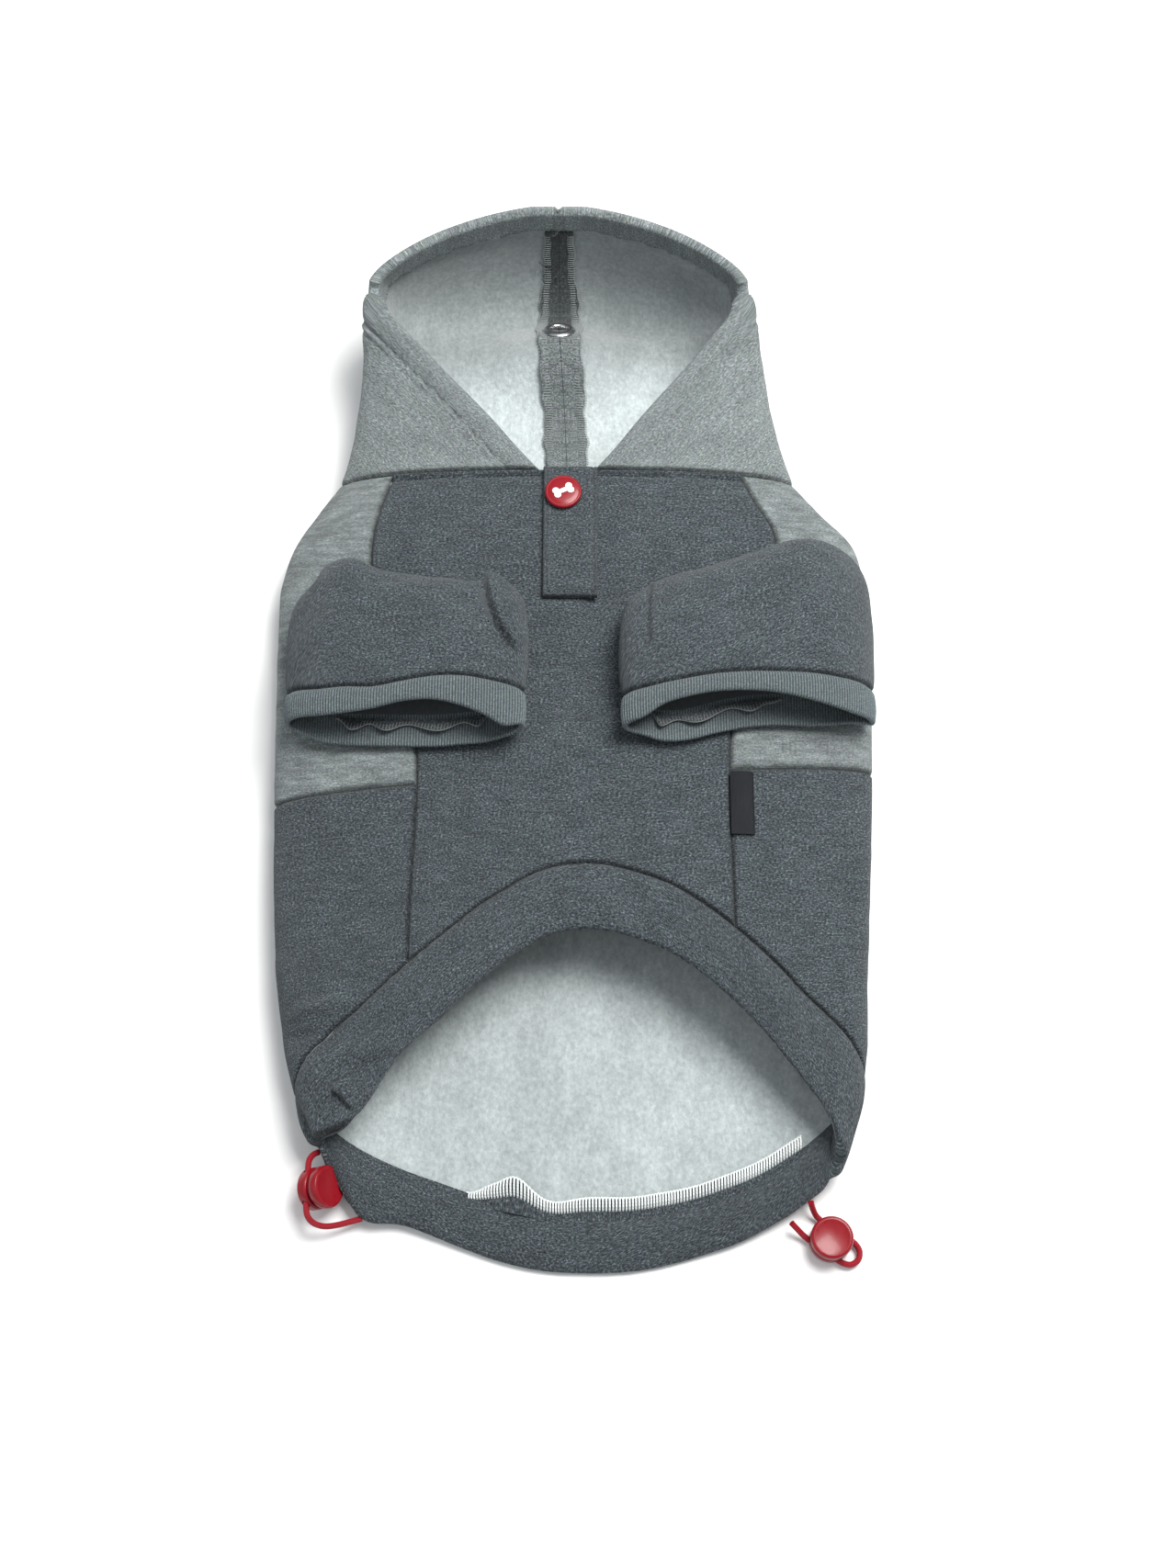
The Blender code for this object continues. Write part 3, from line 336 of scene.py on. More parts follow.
class HoodieSizes(bpy.types.PropertyGroup):
    """Sizes of the dressed cloth and its stitches."""

    cloth: length_prop("Cloth", "Thickness of the fleece-backed cloth", 0.0023)
    rim: length_prop("Rim thickness", "Thickness of the hood's folded rim", 0.0048)
    rim_width: length_prop("Rim width", "Width of the hood's folded rim", 0.0145)
    band: length_prop("Hem band", "Thickness of the hem's drawcord casing", 0.0064)
    seam_depth: length_prop("Seam depth", "How far the cloth turns down into a seam", 0.0017)
    seam_width: length_prop("Seam width", "How far from a seam the cloth starts to turn down", 0.0011)
    pucker: length_prop("Pucker", "Height of the small ripples along a seam", 0.00013)
    pucker_pitch: length_prop("Pucker pitch", "Length of one ripple along a seam", 0.0060)
    wave: length_prop("Wave", "Height of the soft waves all over the cloth", 0.00030)
    rib_pitch: length_prop("Rib pitch", "Width of one rib of the cuffs", 0.00125)
    rib_depth: length_prop("Rib depth", "Depth of the cuffs' ribs", 0.00050)
    stitch: length_prop("Stitch", "Length of one topstitch", 0.0024)
    thread: length_prop("Thread", "Thickness of the topstitch thread", 0.00036)
    overlock_pitch: length_prop("Overlock pitch", "Spacing of the overlock loops", 0.00130)
    overlock_thread: length_prop("Overlock thread", "Thickness of the overlock thread", 0.00085)


class HoodieColours(bpy.types.PropertyGroup):
    """Colours of the cloth, threads and trims."""

    light: colour_prop("Light heather", "Lighter of the two cloths", (0.160, 0.183, 0.184))
    dark: colour_prop("Dark heather", "Darker of the two cloths", (0.049, 0.060, 0.067))
    fleece: colour_prop("Fleece", "Brushed inner side of the cloth", (0.50, 0.555, 0.560))
    overlock: colour_prop("Overlock thread", "Thread that binds the cloth's cut edges", (0.80, 0.84, 0.84))
    tail: colour_prop("Thread tails", "Dark ends of thread in the hood", (0.020, 0.022, 0.028))
    rib: colour_prop("Rib knit", "Knit of the sleeves' cuffs", (0.110, 0.134, 0.142))
    plastic: colour_prop("Red plastic", "Snap cap and cord locks", (0.230, 0.004, 0.010))
    cord: colour_prop("Red cord", "Braided drawcord", (0.330, 0.010, 0.020))
    steel: colour_prop("Steel", "Leash eyelet", (0.56, 0.56, 0.57))
    satin: colour_prop("Black satin", "Side label", (0.007, 0.008, 0.011))
    motif: colour_prop("Motif", "Printed motif of the snap cap", (0.80, 0.80, 0.80))
    floor: colour_prop("Floor", "Plain pale floor", (0.90, 0.90, 0.90))


def sizes():
    return bpy.context.scene.hoodie_sizes


def colours():
    return bpy.context.scene.hoodie_colours


# Curves and surfaces shared with the part's source


def read(rows, column, at):
    """A smooth curve through one column of a table, read at values of the table's first column."""
    places = np.array([row[0] for row in rows], float)
    values = np.array([getattr(row, column) for row in rows], float)
    slopes = np.empty_like(values)
    slopes[1:-1] = (values[2:] - values[:-2]) / (places[2:] - places[:-2])
    slopes[0] = (values[1] - values[0]) / (places[1] - places[0])
    slopes[-1] = (values[-1] - values[-2]) / (places[-1] - places[-2])
    at = np.clip(at, places[0], places[-1])
    k = np.clip(np.searchsorted(places, at, side="left") - 1, 0, len(places) - 2)
    step = places[k + 1] - places[k]
    t = (at - places[k]) / step
    return (
        values[k] * (1 + 2 * t) * (1 - t) ** 2
        + values[k + 1] * t * t * (3 - 2 * t)
        + slopes[k] * step * t * (1 - t) ** 2
        - slopes[k + 1] * step * t * t * (1 - t)
    )


def eased(t):
    t = np.clip(t, 0.0, 1.0)
    return t * t * (3 - 2 * t)


def section(y):
    """Half width, sideways shift, height of the widest line and height of the top, at y from the neck
    seam."""
    neck_side, neck_top = BODY[0].side * BODY_HEIGHT, BODY[0].top * BODY_HEIGHT
    ends = (
        ("width", NECK_HALF_WIDTH, CHEST_HALF_WIDTH - NECK_HALF_WIDTH, NECK_HALF_WIDTH, TEMPLE_HALF_WIDTH),
        ("shift", 0.0, CHEST_HALF_WIDTH, 0.0, CHEST_HALF_WIDTH),
        ("side", 0.0, BODY_HEIGHT, neck_side, TEMPLE_HEIGHT),
        ("top", 0.0, BODY_HEIGHT, neck_top, RIM_HEIGHT),
    )
    found = []
    for column, low, size, neck, temple in ends:
        body = low + read(BODY, column, -y / BACK_LENGTH) * size
        hood = neck + read(HOOD, column, y / HOOD_LENGTH) * (temple - neck)
        found.append(np.where(np.asarray(y) <= 0, body, hood))
    return found


def body_middle(y):
    """Points of the hollow side, on the line through the body's widest points."""
    _, shift, side, _ = section(y)
    return np.stack(np.broadcast_arrays(shift, y, side), axis=-1)


def fold_height(x, y, folds=FOLDS):
    total = 0.0
    for fold in folds:
        dx = x - fold.x * CHEST_HALF_WIDTH
        dy = y - fold.y * BACK_LENGTH
        c, s = math.cos(math.radians(fold.heading)), math.sin(math.radians(fold.heading))
        along = (dx * c + dy * s) / (fold.reach * CHEST_HALF_WIDTH)
        across = (dy * c - dx * s) / (fold.breadth * CHEST_HALF_WIDTH)
        total = total + fold.height * CHEST_HALF_WIDTH * np.exp(-along * along - across * across)
    return total


def ridge_height(x, y):
    across = (x - HOOD[-1].shift * CHEST_HALF_WIDTH) / RIDGE_HALF_WIDTH
    along = y - RIDGE_FROM_NECK
    reach = HOOD_LENGTH * np.where(along < 0, 0.24, 0.19)
    return RIDGE_HEIGHT * np.exp(-across * across - (along / reach) ** 2)


def power_of(value, power):
    return np.sign(value) * np.abs(value) ** power


def bell(away, width):
    """1 at a place and fading to 0 within about twice the width of it."""
    return np.exp(-((away / width) ** 2))


def body_point(turn, y, creased=True):
    """Outer surface of the body and of the hood's straight part. turn: degrees from the middle of the
    top."""
    width, shift, side, top = section(y)
    sine, cosine = np.sin(np.radians(turn)), np.cos(np.radians(turn))
    power = np.where(cosine > 0, 2 / TOP_POWER, 2 / FLOOR_POWER)
    x = shift + width * power_of(sine, power)
    level = np.abs(cosine) ** power
    lift = fold_height(x, y) + (fold_height(x, y, CREASES) if creased else 0.0)
    upper = side + (top - side) * level + lift * eased(level * 1.6)
    lower = np.maximum(side - FLOOR_SINK * side * level, 0.0)
    lower = lower + np.where(np.asarray(y) > 0, ridge_height(x, y) * eased(-2 * cosine), 0.0)
    z = np.where(cosine > 0, upper, lower)
    return np.stack(np.broadcast_arrays(x, y, z), axis=-1)


def crown_point(turn, swing):
    """Outer surface of the hood's crown: the last section swung up about a line through the temples."""
    width, shift, side, _ = section(np.array(HOOD_LENGTH))
    sine, cosine = np.sin(np.radians(turn)), np.abs(np.cos(np.radians(turn)))
    power = 2 / (FLOOR_POWER + (ARCH_POWER - FLOOR_POWER) * swing / 90)
    out = np.sin(np.radians(swing)) ** CROWN_FULLNESS
    down = np.maximum(np.cos(np.radians(swing)), 0.0) ** CROWN_FULLNESS
    depth = RIM_HEIGHT - np.maximum(side - FLOOR_SINK * side * cosine**power, 0.0)
    x = shift + width * power_of(sine, power)
    y = HOOD_LENGTH + CROWN_DEPTH * out * depth / RIM_HEIGHT
    z = RIM_HEIGHT - depth * down + CROWN_RISE * cosine**power * (1 - down)
    z = z + ridge_height(x, y) * down * eased(2 * cosine)
    return np.stack(np.broadcast_arrays(x, y, z), axis=-1)


def rim_turn(y):
    share = read(HOOD, "rim", y / HOOD_LENGTH)
    return np.degrees(np.arcsin(np.minimum(share, 1.0) ** (TOP_POWER / 2)))


def hood_point(sign, u, v):
    """u runs from the rim to the centre seam. v runs from the neck to the temples at 1 and to the rim's
    top at 2."""
    y = np.minimum(v, 1.0) * HOOD_LENGTH
    start = rim_turn(y)
    straight = body_point(sign * (start + u * (180 - start)), y)
    crown = crown_point(sign * (90 + 90 * u), 90 * np.clip(v - 1, 0.0, 1.0))
    return np.where((v <= 1)[..., None], straight, crown)


def seam_turn(y):
    share = read(BELLY_SEAM, "across", -y / BACK_LENGTH)
    return np.degrees(np.arcsin(share ** (TOP_POWER / 2)))


def wrapped(turn):
    return (np.asarray(turn) + 180) % 360 - 180


def hem_edge(turn):
    return -BACK_LENGTH * read(HEM, "edge", wrapped(turn))


def hem_seam(turn):
    return hem_edge(turn) + HEM_BAND_WIDTH * read(HEM, "band", wrapped(turn))


def yoke_edge(turn):
    return -YOKE_LENGTH + YOKE_SKEW * np.sin(np.radians(turn))


def neck_edge(turn):
    return np.zeros_like(np.asarray(turn, float))


def top_turn(x, y):
    width, shift, _, _ = section(y)
    across = np.clip((x - shift) / width, -1.0, 1.0)
    return np.degrees(np.arcsin(np.abs(across) ** (TOP_POWER / 2)) * np.sign(across))


def top_height(x, y, creased=True):
    return body_point(top_turn(x, y), y, creased)[..., 2]


def bridged_height(x, y):
    """Height of the upper side where a stiffer strip lies on it, which bridges the dents."""
    return top_height(x, y, False) - np.minimum(fold_height(x, y), 0.0)


def loop_point(side, angle, at, grow=0.0, drop=0.0):
    """A point of one sleeve. angle: degrees round it from its outer end, over its top. at: the loop's
    number."""
    row = {name: read(SLEEVE, name, at) for name in ("upper", "rise", "lower", "lay", "width")}
    past = np.maximum(np.asarray(at, float) - SLEEVE[-1].at, 0.0)
    reach = past * CUFF_LENGTH / SLEEVE_REACH
    upper, lower = row["upper"] + reach * CUFF_DRAW, row["lower"] + reach
    centre = side.sign * side.centre * CHEST_HALF_WIDTH
    half = side.half_width * CHEST_HALF_WIDTH * row["width"] + 0.0026 + grow
    across = power_of(np.cos(np.radians(angle)), SLEEVE_SQUARENESS)
    up = power_of(np.sin(np.radians(angle)), SLEEVE_SQUARENESS)
    share = 0.5 + 0.5 * up
    hang = {name: read(HANGS[side.name], name, across) for name in ("fold", "seam", "mouth", "under")}
    to_seam, to_mouth = eased((at - 2.5) / 5.0), np.clip(past, 0.0, 1.2)
    over = hang["fold"] * (1 - to_seam) * eased(at / 1.2) + hang["seam"] * to_seam
    over = over + (hang["mouth"] - hang["seam"]) * to_mouth
    under = hang["under"] * eased((at - 4.0) / 4.0)
    along = lower + (upper - lower) * share + over * share + under * (1 - share)
    height = (row["lay"] + (row["rise"] - row["lay"]) * share) * SLEEVE_HEIGHT
    slant = side.skew * across * side.sign * (1 - eased(upper))
    x = centre + half * across
    y = -ARMHOLE_FROM_NECK - SLEEVE_REACH * (along - slant) + grow * up
    z = top_height(x, np.maximum(y, -BACK_LENGTH), False) + height - drop
    return np.stack(np.broadcast_arrays(x, y, z), axis=-1)


def line_distance(x, y, points):
    """Signed distance of places from a line of points, and how far along it the nearest place is, from
    0 to 1."""
    knots = even(bent([(px * CHEST_HALF_WIDTH, py * BACK_LENGTH, 0.0) for px, py in points]), 0.0015)[:, :2]
    best = np.full(np.broadcast(x, y).shape, 1.0)
    signed, place = np.zeros_like(best), np.zeros_like(best)
    for k in range(len(knots) - 1):
        start, step = knots[k], knots[k + 1] - knots[k]
        length = float(np.hypot(*step))
        dx, dy = x - start[0], y - start[1]
        t = np.clip((dx * step[0] + dy * step[1]) / length**2, 0.0, 1.0)
        away = np.hypot(dx - t * step[0], dy - t * step[1])
        side = np.sign(step[0] * dy - step[1] * dx)
        near = away < best
        best = np.where(near, away, best)
        signed = np.where(near, side * away, signed)
        place = np.where(near, (k + t) / (len(knots) - 1), place)
    return signed, place


def overlapped(x, y, overlaps, reach=0.012):
    """Height that overlapping folds add: a step on each line, which fades away from it and at its ends."""
    total = np.zeros(np.broadcast(x, y).shape)
    for line in overlaps:
        signed, place = line_distance(x, y, line.points)
        ends = eased(place / 0.15) * eased((1 - place) / 0.15)
        step = 0.5 * np.tanh(signed / (0.5 * line.width))
        total += line.step * step * bell(signed, reach) * ends
    return total


def fold_shade(x, y, overlaps, width=0.0008):
    """How far into an overlapping fold's own fold line a place lies, from 0 to 1: the strength of the painted
    shade there.
    """
    total = np.zeros(np.broadcast(x, y).shape)
    for line in overlaps:
        signed, place = line_distance(x, y, line.points)
        total += bell(signed, width) * eased(place / 0.12) * eased((1 - place) / 0.12)
    return total


# Strength of the painted shade at a distance from a seam, fold or edge: 1 at it, fading within about twice
# the width.
def seam_shade(away, width=0.0012):
    return bell(away, width)


# Grids of points and meshes


def unit(vectors):
    return vectors / np.maximum(np.linalg.norm(vectors, axis=-1, keepdims=True), 1e-12)


def grid_normals(points, middle, ring=False, soften=1):
    """Unit normals of a grid of points, turned away from the points of its hollow side."""
    if ring:
        across = np.roll(points, -1, axis=0) - np.roll(points, 1, axis=0)
    else:
        across = np.gradient(points, axis=0)
    normals = unit(np.cross(across, np.gradient(points, axis=1)))
    if (normals * (points - middle)).sum() < 0:
        normals = -normals
    for _ in range(soften):
        smooth = normals.copy()
        smooth[1:-1] += normals[:-2] + normals[2:]
        smooth[:, 1:-1] += normals[:, :-2] + normals[:, 2:]
        normals = unit(smooth)
    return normals


def run_lengths(points, axis):
    """Distance of each point of a grid from the grid's first edge, along one axis."""
    steps = np.linalg.norm(np.diff(points, axis=axis), axis=-1)
    zero = np.zeros_like(np.take(steps, [0], axis=axis))
    return np.concatenate((zero, np.cumsum(steps, axis=axis)), axis=axis)


def shares(length, coarse, fine=None, reach=0.008, ends=(True, True)):
    """Shares from 0 to 1 of a length, closer together near the ends that have a seam or a fold."""
    fine = fine or coarse
    at = np.linspace(0.0, length, 4001)
    near = np.full_like(at, reach)
    if ends[0]:
        near = np.minimum(near, at)
    if ends[1]:
        near = np.minimum(near, length - at)
    spacing = fine + (coarse - fine) * eased(near / reach)
    count = np.concatenate(([0.0], np.cumsum(np.diff(at) / (0.5 * (spacing[1:] + spacing[:-1])))))
    steps = max(int(math.ceil(count[-1])), 2)
    return np.interp(np.linspace(0, count[-1], steps + 1), count, at) / length


def settled(turns, start, end, u, v):
    """Turn and y of places at u across and v along a region of the body between two turns and two edges."""
    y = np.full(np.broadcast(u, v).shape, 0.5 * float(start(0.0) + end(0.0)))
    for _ in range(14):
        low, high = turns(y)
        turn = low + (high - low) * u
        y = start(turn) + (end(turn) - start(turn)) * v
    return turn, y


def waves(x, y, seed=0.0):
    """Soft irregular waves of about unit height over the cloth, from a few crossed ripples."""
    total = 0.0
    for k, (length, heading) in enumerate(
        ((0.031, 20), (0.043, 75), (0.023, 118), (0.061, 155), (0.017, 48))
    ):
        angle = math.radians(heading + 17 * seed)
        phase = 2 * math.pi * (x * math.cos(angle) + y * math.sin(angle)) / length
        total = total + np.sin(
            phase + 1.7 * k + 2.3 * seed + 0.8 * np.sin(0.6 * phase + k)
        ) / (1.5 + 0.4 * k)
    return 0.6 * total


def puckers(along, away, reach=0.006):
    """Small ripples beside a seam, which fade away from it."""
    s = sizes()
    phase = 2 * math.pi * along / s.pucker_pitch
    return s.pucker * np.sin(phase + 1.3 * np.sin(0.29 * phase)) * np.exp(-away / reach)


def turned_down(away):
    """How far the cloth turns down at this distance from a seam."""
    return sizes().seam_depth * bell(away, sizes().seam_width)


def groove(away, depth, width):
    return depth * bell(away, width)


def nose(away, radius):
    """Share of its half thickness that a rounded edge has at this distance from its end."""
    return np.sqrt(np.maximum(1 - np.maximum(1 - away / radius, 0.0) ** 2, 0.0))


def quads(columns, rows, ring=False):
    """Corner numbers of a grid's faces, with the columns and rows of their corners."""
    i = np.arange(columns if ring else columns - 1)[:, None]
    j = np.arange(rows - 1)[None, :]
    i, j = np.broadcast_arrays(i, j)
    i, j = i.ravel(), j.ravel()
    k = (i + 1) % columns
    faces = np.stack((i * rows + j, k * rows + j, k * rows + j + 1, i * rows + j + 1), axis=1)
    places = np.stack((i, j, i + 1, j, i + 1, j + 1, i, j + 1), axis=1).reshape(-1, 4, 2)
    return faces, places


def make_mesh(name, points, faces, materials, skins, uvs, sharp=50.0, merge=2e-6, crease_shade=None):
    """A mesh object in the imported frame. faces: lists of corner numbers. uvs: one pair for each face
    corner."""
    mesh = bpy.data.meshes.new(name)
    mesh.from_pydata([tuple(p) for p in points], [], [tuple(map(int, f)) for f in faces])
    mesh.uv_layers.new(name="cloth").data.foreach_set("uv", np.asarray(uvs, np.float32).ravel())
    if crease_shade is not None:
        # each point's painted shade of seams and folds, which the heather material reads to darken its colour
        painted_shade = mesh.attributes.new("crease_shade", "FLOAT", "POINT").data
        painted_shade.foreach_set("value", np.asarray(crease_shade, np.float32))
    for material in materials:
        mesh.materials.append(material)
    mesh.polygons.foreach_set("material_index", np.asarray(skins, np.int32))
    work = bmesh.new()
    work.from_mesh(mesh)
    if merge:
        bmesh.ops.remove_doubles(work, verts=work.verts, dist=merge)
    loose = [vertex for vertex in work.verts if not vertex.link_faces]
    bmesh.ops.delete(work, geom=loose, context="VERTS")
    if work.calc_volume(signed=True) < 0:
        bmesh.ops.reverse_faces(work, faces=work.faces)
    work.to_mesh(mesh)
    work.free()
    mesh.transform(Matrix.Translation(NECK.tolist()))
    mesh.shade_smooth()
    mesh.set_sharp_from_angle(angle=math.radians(sharp))
    obj = bpy.data.objects.new(name, mesh)
    bpy.context.scene.collection.objects.link(obj)
    return obj


def shell(name, outer, inner, materials, inside=0, rim=0, ring=False, uv=None, sharp=60.0, crease_shade=None):
    """A closed wall between an outer and an inner grid of points.

    inside, rim: material numbers of the inner side and of the cut edges. uv: distances across and along
    the grid.
    The last argument: painted shade of each point of the outer side, from 0 to 1, by how far into a seam or
    fold it lies.
    """
    columns, rows = outer.shape[:2]
    faces, places = quads(columns, rows, ring)
    count = columns * rows
    if uv is None:
        uv = np.stack((run_lengths(outer, 0), run_lengths(outer, 1)), axis=-1)
    if ring:
        last = uv[:1].copy()
        last[..., 0] = 2 * uv[-1:, :, 0] - uv[-2:-1, :, 0]
        uv = np.concatenate((uv, last), axis=0)
    face_uv = uv[places[..., 0], places[..., 1]]
    all_faces = [faces, faces[:, ::-1] + count]
    all_uvs = [face_uv, face_uv[:, ::-1]]
    i = np.arange(columns if ring else columns - 1)
    k = (i + 1) % columns
    skins = [np.zeros(len(faces), int), np.broadcast_to(inside, (len(i), rows - 1)).ravel()]
    rims = []
    for j in (0, rows - 1):
        ends = np.stack((i * rows + j, k * rows + j, count + k * rows + j, count + i * rows + j), axis=1)
        spots = np.stack((uv[i, j], uv[i + 1, j], uv[i + 1, j], uv[i, j]), axis=1)
        rims.append((ends if j else ends[:, ::-1], spots if j else spots[:, ::-1]))
    if not ring:
        for i in (0, columns - 1):
            j = np.arange(rows - 1)
            a, b = i * rows + j, i * rows + j + 1
            ends = np.stack((a, b, b + count, a + count), axis=1)
            spots = np.stack((uv[i, j], uv[i, j + 1], uv[i, j + 1], uv[i, j]), axis=1)
            rims.append((ends[:, ::-1] if i else ends, spots[:, ::-1] if i else spots))
    for ends, spots in rims:
        all_faces.append(ends)
        all_uvs.append(spots)
        skins.append(np.full(len(ends), rim))
    faces, uvs = consistent(np.concatenate(all_faces), np.concatenate(all_uvs), len(all_faces[0]) * 2)
    points = np.concatenate((outer.reshape(-1, 3), inner.reshape(-1, 3)))
    if crease_shade is not None:
        crease_shade = np.concatenate((np.clip(crease_shade, 0.0, 1.0).ravel(), np.zeros(count)))
    return make_mesh(name, points, faces, materials, np.concatenate(skins), uvs, sharp, crease_shade=crease_shade)


def consistent(faces, uvs, known):
    """Turns round each rim face that runs along an edge in the same direction as the wall's own faces do."""
    walls = faces[:known]
    used = set(map(tuple, np.concatenate([walls[:, [k, (k + 1) % 4]] for k in range(4)]).tolist()))
    for n in range(known, len(faces)):
        if (int(faces[n][0]), int(faces[n][1])) in used:
            faces[n] = faces[n][::-1].copy()
            uvs[n] = uvs[n][::-1].copy()
    return faces, uvs


def placed(obj, node_name=None, body="garment"):
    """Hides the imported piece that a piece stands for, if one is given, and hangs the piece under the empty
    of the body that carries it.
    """
    if node_name:
        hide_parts(node_name)
    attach(obj, body)


def tube_mesh(path, radius, sides=6):
    """Points, faces and face-corner pairs of a round tube along a path. radius: one number or one for
    each point."""
    path = np.asarray(path, float)
    radius = np.broadcast_to(radius, len(path)).astype(float)
    along = unit(np.gradient(path, axis=0))
    normal = np.empty_like(along)
    start = np.array((0.0, 0.0, 1.0)) if abs(along[0][2]) < 0.9 else np.array((1.0, 0.0, 0.0))
    normal[0] = unit(np.cross(along[0], start))
    for k in range(1, len(path)):
        normal[k] = unit(normal[k - 1] - along[k] * np.dot(normal[k - 1], along[k]))
    other = np.cross(along, normal)
    angle = 2 * np.pi * np.arange(sides) / sides
    ring = np.cos(angle)[:, None, None] * normal[None] + np.sin(angle)[:, None, None] * other[None]
    points = path[None] + ring * radius[None, :, None]
    rows = len(path)
    faces, places = quads(sides, rows, True)
    run = run_of(path)
    around = 2 * np.pi * float(radius.mean()) * np.arange(sides + 1) / sides
    uvs = np.stack((around[places[..., 0]], run[places[..., 1]]), axis=-1)
    flat, faces, uvs = points.reshape(-1, 3), faces.tolist(), uvs.reshape(-1, 2).tolist()
    first = [k * rows for k in range(sides)]
    faces += [first, [k + rows - 1 for k in first][::-1]]
    uvs += [(0.0, 0.0)] * (2 * sides)
    return flat, faces, uvs


def joined(name, parts, material):
    """One mesh object of several shapes, each points, faces and face-corner pairs."""
    points, faces, uvs = [], [], []
    total = 0
    for part_points, part_faces, part_uvs in parts:
        points.append(part_points)
        faces += [[corner + total for corner in face] for face in part_faces]
        uvs += part_uvs
        total += len(part_points)
    return make_mesh(name, np.concatenate(points), faces, [material], [0] * len(faces), uvs, merge=0)


def bent(path, per_span=12):
    """Close points along a smooth curve through all points of a route."""
    knots = [np.array(p, float) for p in path]
    points = []
    for k in range(len(knots) - 1):
        here, there = knots[k], knots[k + 1]
        bend_in = 0.5 * (there - knots[max(k - 1, 0)])
        bend_out = 0.5 * (knots[min(k + 2, len(knots) - 1)] - here)
        for t in np.arange(per_span) / per_span:
            start = here * (1 + 2 * t) * (1 - t) ** 2 + bend_in * t * (1 - t) ** 2
            points.append(start + there * t * t * (3 - 2 * t) - bend_out * t * t * (1 - t))
    return np.array(points + [knots[-1]])


def run_of(path):
    return run_lengths(np.asarray(path)[None], 1)[0]


def read_path(places, run, path):
    """Points of a path at some distances along it. run: the distance of each of its own points."""
    return np.stack([np.interp(places, run, path[:, axis]) for axis in range(3)], axis=-1)


def even(path, step):
    """The path read at even steps."""
    run = run_of(path)
    return read_path(np.linspace(0.0, run[-1], max(int(round(run[-1] / step)), 1) + 1), run, path)


def stitches(path, length, gap, radius, sink):
    """Short thread tubes laid end to end along a path, each a little sunk at its ends."""
    run = run_of(path)
    parts = []
    at = 0.5 * gap
    shape = np.array((0.45, 0.9, 1.0, 0.9, 0.45))
    while at + length < run[-1]:
        spots = read_path(np.linspace(at, at + length, 5), run, path)
        spots[:, 2] -= sink * (1 - shape)
        parts.append(tube_mesh(spots, radius * shape, 5))
        at += length + gap
    return parts


# Materials


def node(tree, kind, inputs=None, **settings):
    made = tree.nodes.new(kind)
    for name, value in settings.items():
        setattr(made, name, value)
    for key, value in (inputs or {}).items():
        if hasattr(value, "is_linked"):
            tree.links.new(value, made.inputs[key])
        else:
            made.inputs[key].default_value = value
    return made


def math_node(tree, operation, *values, clamp=False):
    return node(
        tree, "ShaderNodeMath", dict(enumerate(values)), operation=operation, use_clamp=clamp
    ).outputs[0]


def product(tree, one, other):
    return math_node(tree, "MULTIPLY", one, other)


def about(tree, value, amount, level):
    """level plus the value times an amount."""
    return math_node(tree, "ADD", level, product(tree, value, amount))


def swung(tree, value, amount):
    """A noise's value swung about zero by an amount."""
    return product(tree, math_node(tree, "SUBTRACT", value, 0.5), amount)


def scaled(tree, colour, factor):
    tint = node(tree, "ShaderNodeVectorMath", {0: colour}, operation="SCALE")
    tree.links.new(factor, tint.inputs["Scale"])
    return tint.outputs[0]


def cloth_place(tree):
    """Distances across and along the cloth, together and apart."""
    uv = node(tree, "ShaderNodeUVMap", uv_map="cloth").outputs[0]
    return uv, *node(tree, "ShaderNodeSeparateXYZ", {0: uv}).outputs[:2]


def object_place(tree):
    return node(tree, "ShaderNodeTexCoord").outputs["Object"]


def grain(tree, scale, detail=3.0, roughness=0.5):
    inputs = {"Vector": object_place(tree), "Scale": scale, "Detail": detail, "Roughness": roughness}
    return node(tree, "ShaderNodeTexNoise", inputs).outputs[0]


def noise(tree, place, scale, detail, roughness):
    """Value and colour of a noise that is stretched to its own scale along each axis."""
    stretched = node(tree, "ShaderNodeMapping", {"Vector": place, "Scale": scale}).outputs[0]
    inputs = {"Vector": stretched, "Scale": 1.0, "Detail": detail, "Roughness": roughness}
    return node(tree, "ShaderNodeTexNoise", inputs).outputs[:2]


def past(tree, y, reach, level, **settings):
    """1 up to a distance y from the neck seam, and the level from a reach past it on."""
    along = node(tree, "ShaderNodeSeparateXYZ", {0: object_place(tree)}).outputs[1]
    low = NECK[1] + y
    inputs = {0: along, 1: low, 2: low + reach, 3: 1.0, 4: level}
    return node(tree, "ShaderNodeMapRange", inputs, **settings).outputs[0]


